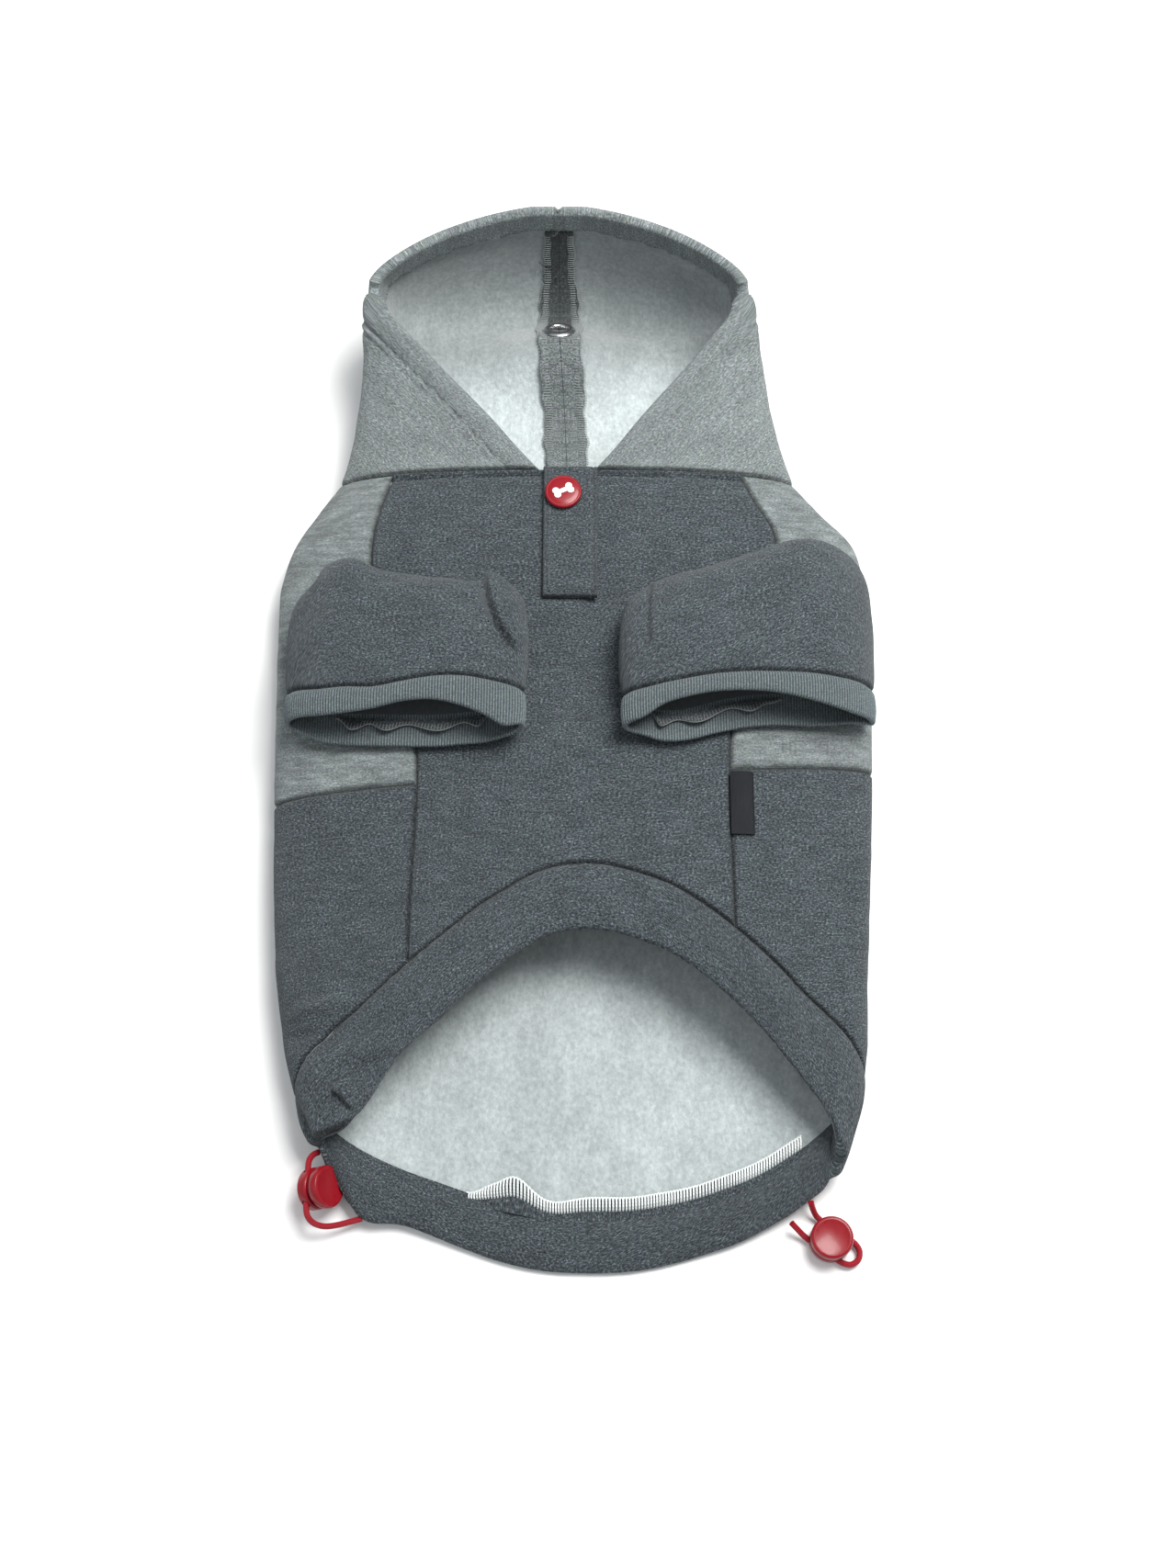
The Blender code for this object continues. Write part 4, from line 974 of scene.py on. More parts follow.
def knit_group():
    """Flecked heather knit: colour of the melange, and the height of its small stitches."""
    found = bpy.data.node_groups.get("heather_knit")
    if found:
        return found
    tree = bpy.data.node_groups.new("heather_knit", "ShaderNodeTree")
    for label, default in (("Flecks", 0.5), ("Streaks", 0.5), ("Wale", 0.0009), ("Worn", 0.3)):
        socket = tree.interface.new_socket(label, in_out="INPUT", socket_type="NodeSocketFloat")
        socket.default_value = default
    tree.interface.new_socket("Colour", in_out="INPUT", socket_type="NodeSocketColor")
    tree.interface.new_socket("Colour", in_out="OUTPUT", socket_type="NodeSocketColor")
    tree.interface.new_socket("Height", in_out="OUTPUT", socket_type="NodeSocketFloat")
    tree.interface.new_socket("Rough", in_out="OUTPUT", socket_type="NodeSocketFloat")
    given, leaving = tree.nodes.new("NodeGroupInput").outputs, tree.nodes.new("NodeGroupOutput").inputs
    uv, across, along = cloth_place(tree)
    fleck, tints = noise(tree, uv, (900.0, 1350.0, 1.0), 3.0, 0.75)
    streak, _ = noise(tree, uv, (95.0, 380.0, 1.0), 4.0, 0.6)
    cloud, _ = noise(tree, uv, (42.0, 70.0, 1.0), 3.0, 0.55)
    broad = math_node(tree, "ADD", swung(tree, streak, 2.2), swung(tree, cloud, 0.9))
    streaked = product(tree, broad, given["Streaks"])
    flecked = product(tree, swung(tree, fleck, 6.0), given["Flecks"])
    factor = math_node(tree, "EXPONENT", math_node(tree, "ADD", flecked, streaked))
    inputs = {0: tints, 1: (0.6, 0.6, 0.6), 2: (0.70, 0.70, 0.70)}
    shades = node(tree, "ShaderNodeVectorMath", inputs, operation="MULTIPLY_ADD").outputs[0]
    toned = node(tree, "ShaderNodeVectorMath", {0: shades, 1: given["Colour"]}, operation="MULTIPLY")
    tree.links.new(scaled(tree, toned.outputs[0], factor), leaving["Colour"])

    wale = math_node(tree, "DIVIDE", across, given["Wale"])
    course = math_node(tree, "DIVIDE", along, given["Wale"])
    lean = about(tree, course, 1.4, math_node(tree, "PINGPONG", wale, 0.5))
    loops, gutter = (
        math_node(
            tree, "ABSOLUTE", math_node(tree, "SINE", product(tree, value, math.pi))
        ) for value in (lean, wale)
    )
    knit = product(tree, loops, math_node(tree, "POWER", gutter, 0.5))
    tree.links.new(about(tree, knit, 0.5, product(tree, fleck, 0.9)), leaving["Height"])
    worn = product(tree, streak, given["Worn"])
    tree.links.new(math_node(tree, "ADD", 0.86, worn, clamp=True), leaving["Rough"])
    return tree


def look(fill):
    """Makes a material of the name on its first use, with its tree and shader filled, and finds it
    after that."""

    def material(name, *values, **settings):
        made = bpy.data.materials.get("look_" + name)
        if made is None:
            made = bpy.data.materials.new("look_" + name)
            made.use_nodes = True
            fill(made.node_tree, made.node_tree.nodes["Principled BSDF"], *values, **settings)
        return made

    return material


def finish(tree, shader, colour, rough, values, height=None, relief=0.0, strength=1.0):
    """Links or sets a shader's colour and roughness, sets other values, and adds a bump."""
    for label, value in (("Base Color", colour), ("Roughness", rough)):
        if hasattr(value, "is_linked"):
            tree.links.new(value, shader.inputs[label])
        else:
            shader.inputs[label].default_value = value
    for label, value in values.items():
        shader.inputs[label].default_value = value
    if height is not None:
        made = node(tree, "ShaderNodeBump", {"Height": height, "Distance": relief, "Strength": strength})
        tree.links.new(made.outputs[0], shader.inputs["Normal"])


def knitted(tree, colour, flecks, streaks, wale, worn):
    group = tree.nodes.new("ShaderNodeGroup")
    group.node_tree = knit_group()
    for label, value in (("Flecks", flecks), ("Streaks", streaks), ("Wale", wale), ("Worn", worn)):
        group.inputs[label].default_value = value
    group.inputs["Colour"].default_value = (*colour, 1.0)
    return group.outputs


@look
def heather(tree, shader, colour, flecks, streaks, relief=0.00030, shaded_past=None):
    """Heather jersey, darkened by painted shade in its seams and folds, which each mesh gives as a point
    attribute. Its last argument is the y from the neck seam past which painted shade makes it darker still."""
    knit = knitted(tree, colour, flecks, streaks, 0.0009, 0.12)
    painted_shade = node(tree, "ShaderNodeAttribute", attribute_name="crease_shade").outputs["Fac"]
    # painted shade: the colour keeps 1 - 0.62 times the mesh's seam and fold shade
    left = math_node(tree, "SUBTRACT", 1.0, product(tree, painted_shade, 0.62))
    # painted shade: past that y the colour falls to 0.42 of itself
    if shaded_past is not None:
        left = product(tree, left, past(tree, shaded_past, 0.008, 0.42))
    values = {"Specular IOR Level": 0.12, "Sheen Weight": 0.12, "Sheen Roughness": 0.5}
    finish(
        tree, shader, scaled(tree, knit["Colour"], left), knit["Rough"], values, knit["Height"], relief, 0.9
    )


@look
def brushed(tree, shader, colour, crown_shade_from=None):
    """Brushed fleece with matted patches. Its last argument is the y from the neck seam past which painted
    shade darkens the fleece, on the hood's crown."""
    place = object_place(tree)
    tufts, _ = noise(tree, place, (560.0, 420.0, 560.0), 4.0, 0.72)
    matted, _ = noise(tree, place, (150.0, 70.0, 150.0), 4.0, 0.6)
    patches, _ = noise(tree, place, (34.0, 14.0, 34.0), 2.0, 0.5)
    fine = math_node(tree, "ADD", swung(tree, tufts, 1.10), swung(tree, matted, 0.45))
    factor = math_node(tree, "EXPONENT", math_node(tree, "ADD", fine, swung(tree, patches, 0.40)))
    # painted shade: past that y the fleece falls to 0.46 of its colour
    if crown_shade_from is not None:
        factor = product(tree, factor, past(tree, crown_shade_from, 0.030, 0.46, interpolation_type="SMOOTHSTEP"))
    values = {"Specular IOR Level": 0.1, "Sheen Weight": 0.4, "Sheen Roughness": 0.6}
    finish(
        tree, shader, scaled(tree, colour, factor), 0.95, values, about(tree, tufts, 0.6, matted), 0.0008, 0.7
    )


@look
def rib_knit(tree, shader):
    """Heather knit with painted shade in the furrows between its ribs and a painted highlight on their
    crests.
    """
    knit = knitted(tree, colours().rib, 0.40, 0.2, 0.0007, 0.1)
    _, across, _ = cloth_place(tree)
    rib = math_node(tree, "COSINE", product(tree, across, 2 * math.pi / sizes().rib_pitch))
    # painted shade in the furrows and painted highlight on the crests, in step with the cuffs' ribs
    colour = scaled(tree, knit["Colour"], about(tree, rib, 0.42, 0.86))
    values = {"Specular IOR Level": 0.12, "Sheen Weight": 0.12}
    finish(tree, shader, colour, knit["Rough"], values, knit["Height"], 0.0002, 0.8)


@look
def thread(tree, shader, colour):
    _, across, along = cloth_place(tree)
    twist = math_node(tree, "SINE", about(tree, along, 5200.0, product(tree, across, 2600.0)))
    # painted shade and highlight along the twist: the colour follows the same wave as the bump
    colour = scaled(tree, colour, about(tree, twist, 0.09, 0.93))
    finish(tree, shader, colour, 0.6, {"Sheen Weight": 0.2}, twist, 0.00006, 0.7)


@look
def plastic(tree, shader):
    scuffs = grain(tree, 240.0, 4.0, 0.65)
    colour = scaled(tree, colours().plastic, about(tree, scuffs, 0.2, 0.9))
    values = {"Coat Weight": 0.12, "Specular IOR Level": 0.3, "Coat Roughness": 0.12}
    height = grain(tree, 1600.0, 3.0, 0.6)
    finish(tree, shader, colour, about(tree, scuffs, 0.26, 0.18), values, height, 0.00004, 0.5)


@look
def braided(tree, shader):
    _, across, along = cloth_place(tree)
    around = product(tree, across, 8.0 * 2 * math.pi / (math.pi * CORD_DIAMETER))
    along = product(tree, along, 2 * math.pi / 0.0011)
    one = math_node(tree, "SINE", math_node(tree, "ADD", around, along))
    two = math_node(tree, "SINE", math_node(tree, "SUBTRACT", around, along))
    braid = math_node(tree, "MAXIMUM", one, two)
    # painted shade in the grooves between strands and painted highlight on their crests: the colour follows
    # the bump
    colour = scaled(tree, colours().cord, about(tree, braid, 0.26, 0.80))
    finish(tree, shader, colour, 0.38, {"Specular IOR Level": 0.2}, braid, 0.00016, 0.7)


@look
def steel(tree, shader):
    scratches = grain(tree, 700.0, 5.0, 0.7)
    rough = about(tree, scratches, 0.22, 0.16)
    finish(tree, shader, (*colours().steel, 1.0), rough, {"Metallic": 1.0}, scratches, 0.00003, 0.5)


@look
def satin(tree, shader):
    _, across, along = cloth_place(tree)
    weft = math_node(tree, "SINE", product(tree, along, 2 * math.pi / 0.00034))
    warp = math_node(tree, "SINE", product(tree, across, 2 * math.pi / 0.0005))
    height = about(tree, warp, 0.5, weft)
    # painted shade and highlight of the weave: the colour follows its bump
    colour = scaled(tree, colours().satin, about(tree, height, 0.14, 1.0))
    values = {"Anisotropic": 0.5, "Specular IOR Level": 0.25}
    finish(tree, shader, colour, 0.42, values, height, 0.00006, 0.6)


@look
def motif_print(tree, shader):
    colour = scaled(tree, colours().motif, about(tree, grain(tree, 1400.0), 0.12, 0.92))
    finish(tree, shader, colour, 0.4, {})


@look
def floor_cover(tree, shader):
    finish(tree, shader, (*colours().floor, 1.0), about(tree, grain(tree, 60.0), 0.1, 0.6), {})


def toned(colour, factor):
    return tuple(factor * part for part in colour)


def dark_heather():
    return heather("dark_heather", colours().dark, 1.20, 0.55)


def fleece():
    return brushed("fleece", toned(colours().fleece, 0.70))


# Cloth of the body


def body_panel(name, region, us, vs, cloth_material, seed, rolled=False):
    """A cloth panel of the body: heather outside, fleece inside, turned down into its seams."""
    turns, start, end = region
    u, v = np.meshgrid(us, vs, indexing="ij")
    trim = 0.00012
    turn, y = settled(turns, start, end, u, v)
    base = body_point(turn, y)
    normals = grid_normals(base, body_middle(y))
    across, along = run_lengths(base, 0), run_lengths(base, 1)
    from_sides = np.minimum(across, across[-1:] - across)
    from_ends = np.minimum(along, along[:, -1:] - along)
    away = np.minimum(from_sides, from_ends)
    s = sizes()
    calm = 1 - eased((turn_down(turn) - 0.55) / 0.3)
    lift = s.wave * waves(base[..., 0], base[..., 1], seed) * eased(away / 0.02) * calm
    lift += (puckers(along, from_sides) + puckers(across, from_ends)) * calm
    lift -= turned_down(away + trim)
    if rolled:
        lift += 0.0013 * bell(along - 0.0017, 0.0013) - groove(along - 0.0040, 0.0009, 0.0007)
    outer = base + normals * lift[..., None]
    outer[..., 2] = np.maximum(outer[..., 2], 0.0)
    inner = base - normals * s.cloth
    inner[..., 2] = np.maximum(inner[..., 2], outer[..., 2].min() + 0.0004)
    uv = np.stack((across, along), axis=-1)
    # the outer side gets painted shade along the panel's seams
    return shell(
        name, outer, inner, [cloth_material, fleece()], 1, 1, uv=uv, crease_shade=seam_shade(away + trim)
    ), base


def turn_down(turn):
    """1 where the body rests on the floor and 0 on its upper side."""
    return 0.5 - 0.5 * np.cos(np.radians(turn))


def belly_region(y):
    return -seam_turn(y), seam_turn(y)


def back_region(y):
    return seam_turn(y), 360 - seam_turn(y)


class HOODIE_OT_body_cloth(bpy.types.Operator):
    """Make the belly panel, the yoke and the lower back"""

    bl_idname = "hoodie.body_cloth"
    bl_label = "Body cloth"

    def execute(self, context):
        across = shares(0.150, 0.0016, 0.00035)
        down = shares(0.235, 0.0016, 0.00035, reach=0.010)
        region = (belly_region, neck_edge, hem_seam)
        belly, base = body_panel("belly_cloth", region, across, down, dark_heather(), 0.0, rolled=True)
        placed(belly, "belly_panel")
        around = shares(0.420, 0.0018, 0.00035)
        down = shares(0.151, 0.0018, 0.00035)
        cloth = heather("light_heather", colours().light, 0.50, 0.85)
        yoke, base = body_panel("yoke_cloth", (back_region, neck_edge, yoke_edge), around, down, cloth, 1.0)
        placed(yoke, "yoke")
        down = shares(0.180, 0.0018, 0.00035)
        region = (back_region, yoke_edge, hem_seam)
        lower, base = body_panel("lower_back_cloth", region, around, down, dark_heather(), 2.0)
        placed(lower, "lower_back")
        return {"FINISHED"}


def rounded_corner(base, temple):
    """Rounds the corner where the hood's edge passes the temple, and lets the cloth beside it follow."""
    step, spread, most = 0.0010, 0.0120, 30
    rim = even(np.concatenate((base[0], base[1:, -1])), step)
    kernel = np.exp(-((step * np.arange(-most, most + 1) / spread) ** 2) / 2)
    padded = np.concatenate((np.repeat(rim[:1], most, 0), rim, np.repeat(rim[-1:], most, 0)))
    smooth = np.stack([np.convolve(padded[:, k], kernel / kernel.sum(), "valid") for k in range(3)], axis=1)
    near = np.exp(-((np.linalg.norm(rim - temple, axis=1) / 0.030) ** 4))
    moved = (smooth - rim) * near[:, None]
    flat = base.reshape(-1, 3)
    away = np.linalg.norm(flat[:, None] - rim[None], axis=-1)
    weight = np.exp(-((away / 0.0050) ** 2) / 2) + 1e-30
    shift = (weight[..., None] * moved[None]).sum(axis=1) / weight.sum(axis=1)[:, None]
    return (flat + shift * bell(away.min(axis=1), 0.022)[:, None]).reshape(base.shape)


def calmed(base, normals, centre, reach=0.018, spread=0.0028):
    """Averages the outward directions close to a place, so that no edge of the cloth breaks there."""
    away = np.linalg.norm(base - centre, axis=-1)
    near = away < reach
    points, facing = base[near], normals[near]
    smooth = np.empty_like(facing)
    for first in range(0, len(points), 500):
        some = points[first : first + 500]
        gap = ((some[:, None] - points[None, ::5]) ** 2).sum(axis=-1)
        smooth[first : first + 500] = np.exp(-gap / (2 * spread**2)) @ facing[::5]
    share = eased((reach - away[near]) / (0.5 * reach))[:, None]
    normals = normals.copy()
    normals[near] = unit(facing * (1 - share) + unit(smooth + 1e-12 * facing) * share)
    return normals


def hood_grids(sign, us, vs):
    """Places and outward directions of one half of the hood, and how close to its temple corner each
    place is."""
    u, v = np.meshgrid(us, vs, indexing="ij")
    middle = np.array((HOOD[-1].shift * CHEST_HALF_WIDTH, HOOD_LENGTH, 0.5 * TEMPLE_HEIGHT))
    corner_v = 1.05
    temple = hood_point(sign, np.array([0.0]), np.array([corner_v]))[0]
    base = rounded_corner(hood_point(sign, u, v), temple)
    swell = bell(np.linalg.norm(base - temple, axis=-1), 0.019)
    base = base + swell[..., None] * np.array((sign * 0.0046, 0.0010, 0.0))
    normals = grid_normals(base, middle, soften=4)
    corner = bell(np.linalg.norm(base - base[0, np.argmin(np.abs(vs - corner_v))], axis=-1), 0.010)
    normals = unit(normals * (1 - corner[..., None]) + unit(base - middle) * corner[..., None])
    return base, calmed(base, normals, base[0, np.argmin(np.abs(vs - 1.5))]), corner


class HOODIE_OT_hood(bpy.types.Operator):
    """Make the two halves of the hood with their folded rim"""

    bl_idname = "hoodie.hood"
    bl_label = "Hood"

    def execute(self, context):
        s = sizes()
        us = shares(0.130, 0.0014, 0.00030, reach=0.014)
        rising = shares(0.082, 0.0013, 0.00035, ends=(True, False))
        vs = np.concatenate((rising[:-1], 1 + shares(0.070, 0.0013, 0.00030, ends=(False, True))))
        skins = [
            heather("hood_heather", toned(colours().light, 1.10), 0.72, 0.46),
            # the hood's fleece gets painted shade past 0.62 of the hood's length, on the crown
            brushed("hood_fleece", colours().fleece, HOOD_LENGTH * 0.62),
        ]
        for sign, name, strength in ((-1, "left", 1.0), (1, "right", 0.45)):
            base, normals, corner = hood_grids(sign, us, vs)
            across, along = run_lengths(base, 0), run_lengths(base, 1)
            from_seam = across[-1:] - across
            from_rim = np.minimum(across, along[:, -1:] - along)
            past_rim = from_rim - s.rim_width
            half = 0.5 * s.rim * (1 + 0.15 * corner)
            edge = half * (1 - nose(from_rim, half))
            lift = 0.0010 * np.sin(np.pi * np.clip(from_rim / s.rim_width, 0, 1))
            lift -= strength * groove(past_rim, 0.0009, 0.0008)
            lift += strength * groove(past_rim - 0.0022, 0.0006, 0.0009)
            lift -= strength * groove(past_rim - 0.0044, 0.0006, 0.0008)
            lift -= turned_down(from_seam) + turned_down(along)
            lift += s.wave * waves(
                base[..., 0], base[..., 1] + base[..., 2], 3.0 + sign
            ) * eased(from_rim / 0.012)
            lift += puckers(across, along) + puckers(along, from_seam)
            fold_in = eased(past_rim / 0.0012)
            wall = 2 * half * (1 - fold_in) + s.cloth * fold_in
            wall += 0.0004 * np.sin(2 * np.pi * (across + along) / 0.0017) * bell(past_rim, 0.0012)
            outer = base + normals * (lift - edge)[..., None]
            inner = base - normals * (wall - edge)[..., None]
            centre = 0.25 * (from_rim[1:, 1:] + from_rim[:-1, 1:] + from_rim[1:, :-1] + from_rim[:-1, :-1])
            inside = (centre > s.rim_width + 0.0006).astype(int)
            uv = np.stack((along, across), axis=-1)
            # painted shade along the centre and neck seams, and a fainter line of it past the rim's fold
            painted_shade = seam_shade(from_seam) + seam_shade(along)
            painted_shade += 0.35 * strength * seam_shade(past_rim - 0.0002, 0.0007)
            obj = shell("hood_cloth_" + name, outer, inner, skins, inside, uv=uv, crease_shade=painted_shade)
            placed(obj, "hood_" + name)
        return {"FINISHED"}


class HOODIE_OT_hood_tapes(bpy.types.Operator):
    """Make the seam allowances that are pressed open and stitched down inside the hood"""

    bl_idname = "hoodie.hood_tapes"
    bl_label = "Hood seam allowances"

    def execute(self, context):
        s = sizes()
        width, wide = 0.0094, 0.135
        us = 1 - np.linspace(wide, 0.0, 19) ** 1.3 / wide**0.3
        vs = np.concatenate((np.linspace(0.02, 1.0, 110)[:-1], np.linspace(1.0, 1.90, 96)))
        # the allowances get painted shade past 0.97 of the hood's length, towards the crown
        knit = heather("allowance_knit", toned(colours().light, 0.95), 0.75, 0.6, 0.0005, HOOD_LENGTH * 0.97)
        threads = []
        for sign, name in ((-1, "left"), (1, "right")):
            base, normals, _ = hood_grids(sign, np.concatenate((np.linspace(0, 0.84, 60), us)), vs)
            base, normals = base[60:], normals[60:]
            across = run_lengths(base, 0)
            from_seam = across[-1:] - across
            # each row keeps the allowance's width, whatever the hood's width there
            places = np.linspace(1.0, 0.0, 13)
            edge = width * (1 + 0.05 * np.sin(19 * vs) + 0.04 * np.sin(47 * vs + 1))
            edge = edge * (1 - 0.30 * eased((vs - 1.2) / 0.5))
            top = np.empty((13, len(vs), 3))
            side = np.empty_like(top)
            for j in range(len(vs)):
                wanted = places * edge[j] + 0.0001
                order = np.argsort(from_seam[:, j])
                top[:, j] = read_path(wanted, from_seam[order, j], base[order, j])
                side[:, j] = read_path(wanted, from_seam[order, j], normals[order, j])
            side = unit(side)
            run = run_lengths(top, 1)
            away = places[:, None] * edge[None, :]
            rough = 0.00030 * np.sin(run / 0.0016 + 2 * away / 0.003) * np.sin(run / 0.0041)
            curl = 0.0009 * eased((away / width - 0.6) / 0.4) * (0.5 + 0.5 * np.sin(run / 0.009))
            lie = s.cloth + 0.0003
            under = top - side * lie
            over = top - side * (lie + 0.0011 + rough * 0.6 + curl)[..., None]
            uv = np.stack((away, run), axis=-1)
            obj = shell("hood_tape_" + name, over, under, [knit], uv=uv)
            placed(obj)
            threads += self.rungs(top, side[0], lie + 0.0013, run[0])
        placed(joined("hood_tape_stitches", threads, thread("tape_thread", (0.30, 0.33, 0.33))))
        return {"FINISHED"}

    def rungs(self, top, facing, height, run):
        """Short stitches side by side across an allowance's outer edge, as a coverstitch shows on this
        side."""
        parts = []
        for at in np.arange(0.002, run[-1] - 0.002, 0.0013):
            away = read_path(at, run, facing)
            spots = []
            for t, low in ((-0.25, 0.0006), (0.05, 0.0), (0.45, -0.0002), (0.9, 0.0), (1.0, 0.0006)):
                place = read_path(at + 0.0004 * t, run, top[0]) * (1 - t) + read_path(at, run, top[5]) * t
                spots.append(place - away * (height - low))
            parts.append(tube_mesh(spots, 0.00024, 4))
        return parts


class HOODIE_OT_frayed_end(bpy.types.Operator):
    """Make the dark fuzzy end of the hood's seam allowance and its loose thread tails"""

    bl_idname = "hoodie.frayed_end"
    bl_label = "Frayed seam end"

    def execute(self, context):
        wander = np.random.default_rng(7)
        threads = []
        for _ in range(110):
            v = 1.93 - 0.42 * wander.random() ** 1.6
            sign = 1 if wander.random() > 0.5 else -1
            u = 1 - (0.004 + 0.040 * wander.random())
            start, nearby = hood_point(sign, np.array([u, u]), np.array([v, min(v + 0.02, 1.98)]))
            into = unit(np.array((0.0, -1.0, 0.35)))
            start = start + into * 0.0034
            run = unit(nearby - start + into * 0.004) * 0.6
            path = [start]
            heading = unit(wander.normal(size=3) * np.array((1.0, 0.7, 1.0)) + run)
            for _ in range(7):
                heading = unit(heading + 0.55 * wander.normal(size=3))
                path.append(path[-1] + heading * 0.00065)
            path = np.array(path)
            path[:, 1] = np.minimum(path[:, 1], start[1] + 0.0012)
            threads.append(tube_mesh(path, 0.00013, 3))
        self.tail(threads, wander, 1.95, (0.4, -0.5, 1.0), 0.015)
        self.tail(threads, wander, 1.90, (-0.8, -0.4, 0.8), 0.010)
        self.tail(threads, wander, 1.70, (-1.0, -0.3, 0.1), 0.012)
        placed(joined("hood_frayed_end", threads, thread("dark_tail", colours().tail)))
        return {"FINISHED"}

    def tail(self, threads, wander, v, heading, length):
        """One loose thread tail that hangs clear of the seam's end."""
        start = hood_point(1, np.array([0.99]), np.array([v]))[0] + np.array((0.0, -0.0042, 0.0))
        heading = unit(np.array(heading))
        path = [start]
        for _ in range(24):
            heading = unit(heading + 0.16 * wander.normal(size=3))
            path.append(path[-1] + heading * length / 24)
        threads.append(tube_mesh(np.array(path), 0.00022, 5))


def band_region(y):
    return np.full_like(y, -180.0), np.full_like(y, 180.0)


class HOODIE_OT_hem_band(bpy.types.Operator):
    """Make the hem's gathered drawcord casing"""

    bl_idname = "hoodie.hem_band"
    bl_label = "Hem band"

    def execute(self, context):
        s = sizes()
        us = np.linspace(0.0, 1.0, 521)[:-1]
        vs = shares(0.030, 0.0009, 0.00030, reach=0.005)
        u, v = np.meshgrid(us, vs, indexing="ij")
        turn, y = settled(band_region, hem_seam, hem_edge, u, v)
        base = body_point(turn, y)
        below = eased(-3.0 * np.cos(np.radians(turn)))
        x = base[..., 0]
        base[..., 1] -= 0.0090 * bell(x + 0.0865, 0.0125) * eased(v) * below
        normals = grid_normals(base, body_middle(y), ring=True)
        across, along = run_lengths(base, 0), run_lengths(base, 1)
        width = along[:, -1:]
        from_edge = width - along
        half = 0.5 * s.band * (0.62 + 0.38 * np.sin(np.pi * np.clip(along / width, 0, 1)))
        edge = half * (1 - nose(from_edge, half))
        phase = 2 * np.pi * across / 0.0125
        corners = bell(wrapped(turn + 97), 22) + 0.8 * bell(wrapped(turn - 103), 20)
        gather = (0.00022 + 0.0015 * corners) * np.sin(phase + 1.4 * np.sin(0.37 * phase))
        lift = 0.0016 * np.sin(np.pi * along / width) + gather * np.sin(0.5 * np.pi * along / width)
        lift -= 1.2 * turned_down(along)
        lift += s.wave * 1.6 * waves(x, base[..., 1], 5.0) * eased(along / 0.006)
        upper = eased((np.cos(np.radians(turn)) + 0.2) / 0.4)
        lift -= groove(x - 0.0036, 0.0016, 0.0007) * upper
        lift += groove(x - 0.0050, 0.0009, 0.0012) * upper
        inward = along / width
        lift -= groove(x + 0.0045 + 0.35 * from_edge, 0.0016, 0.0010) * upper * eased((inward - 0.35) / 0.3)
        lift -= groove(x - 0.0140 + 0.30 * from_edge, 0.0010, 0.0012) * upper * eased((inward - 0.7) / 0.2)
        lift += overlapped(x, base[..., 1], BAND_OVERLAPS, 0.009) * upper
        outer = base + normals * (lift - edge)[..., None]
        outer[..., 2] = np.maximum(outer[..., 2], 0.0)
        inner = base - normals * (2 * half - edge)[..., None]
        inner[..., 2] = np.maximum(inner[..., 2], outer[..., 2] + 0.00001)
        uv = np.stack((across, along), axis=-1)
        # painted shade along the band's seam, its upper join and its overlapping folds
        painted_shade = seam_shade(along) + upper * seam_shade(x - 0.0036, 0.0007)
        painted_shade += fold_shade(x, base[..., 1], BAND_OVERLAPS) * upper
        obj = shell("hem_band_cloth", outer, inner, [dark_heather()], ring=True, uv=uv, crease_shade=painted_shade)
        placed(obj, "hem_band")
        return {"FINISHED"}


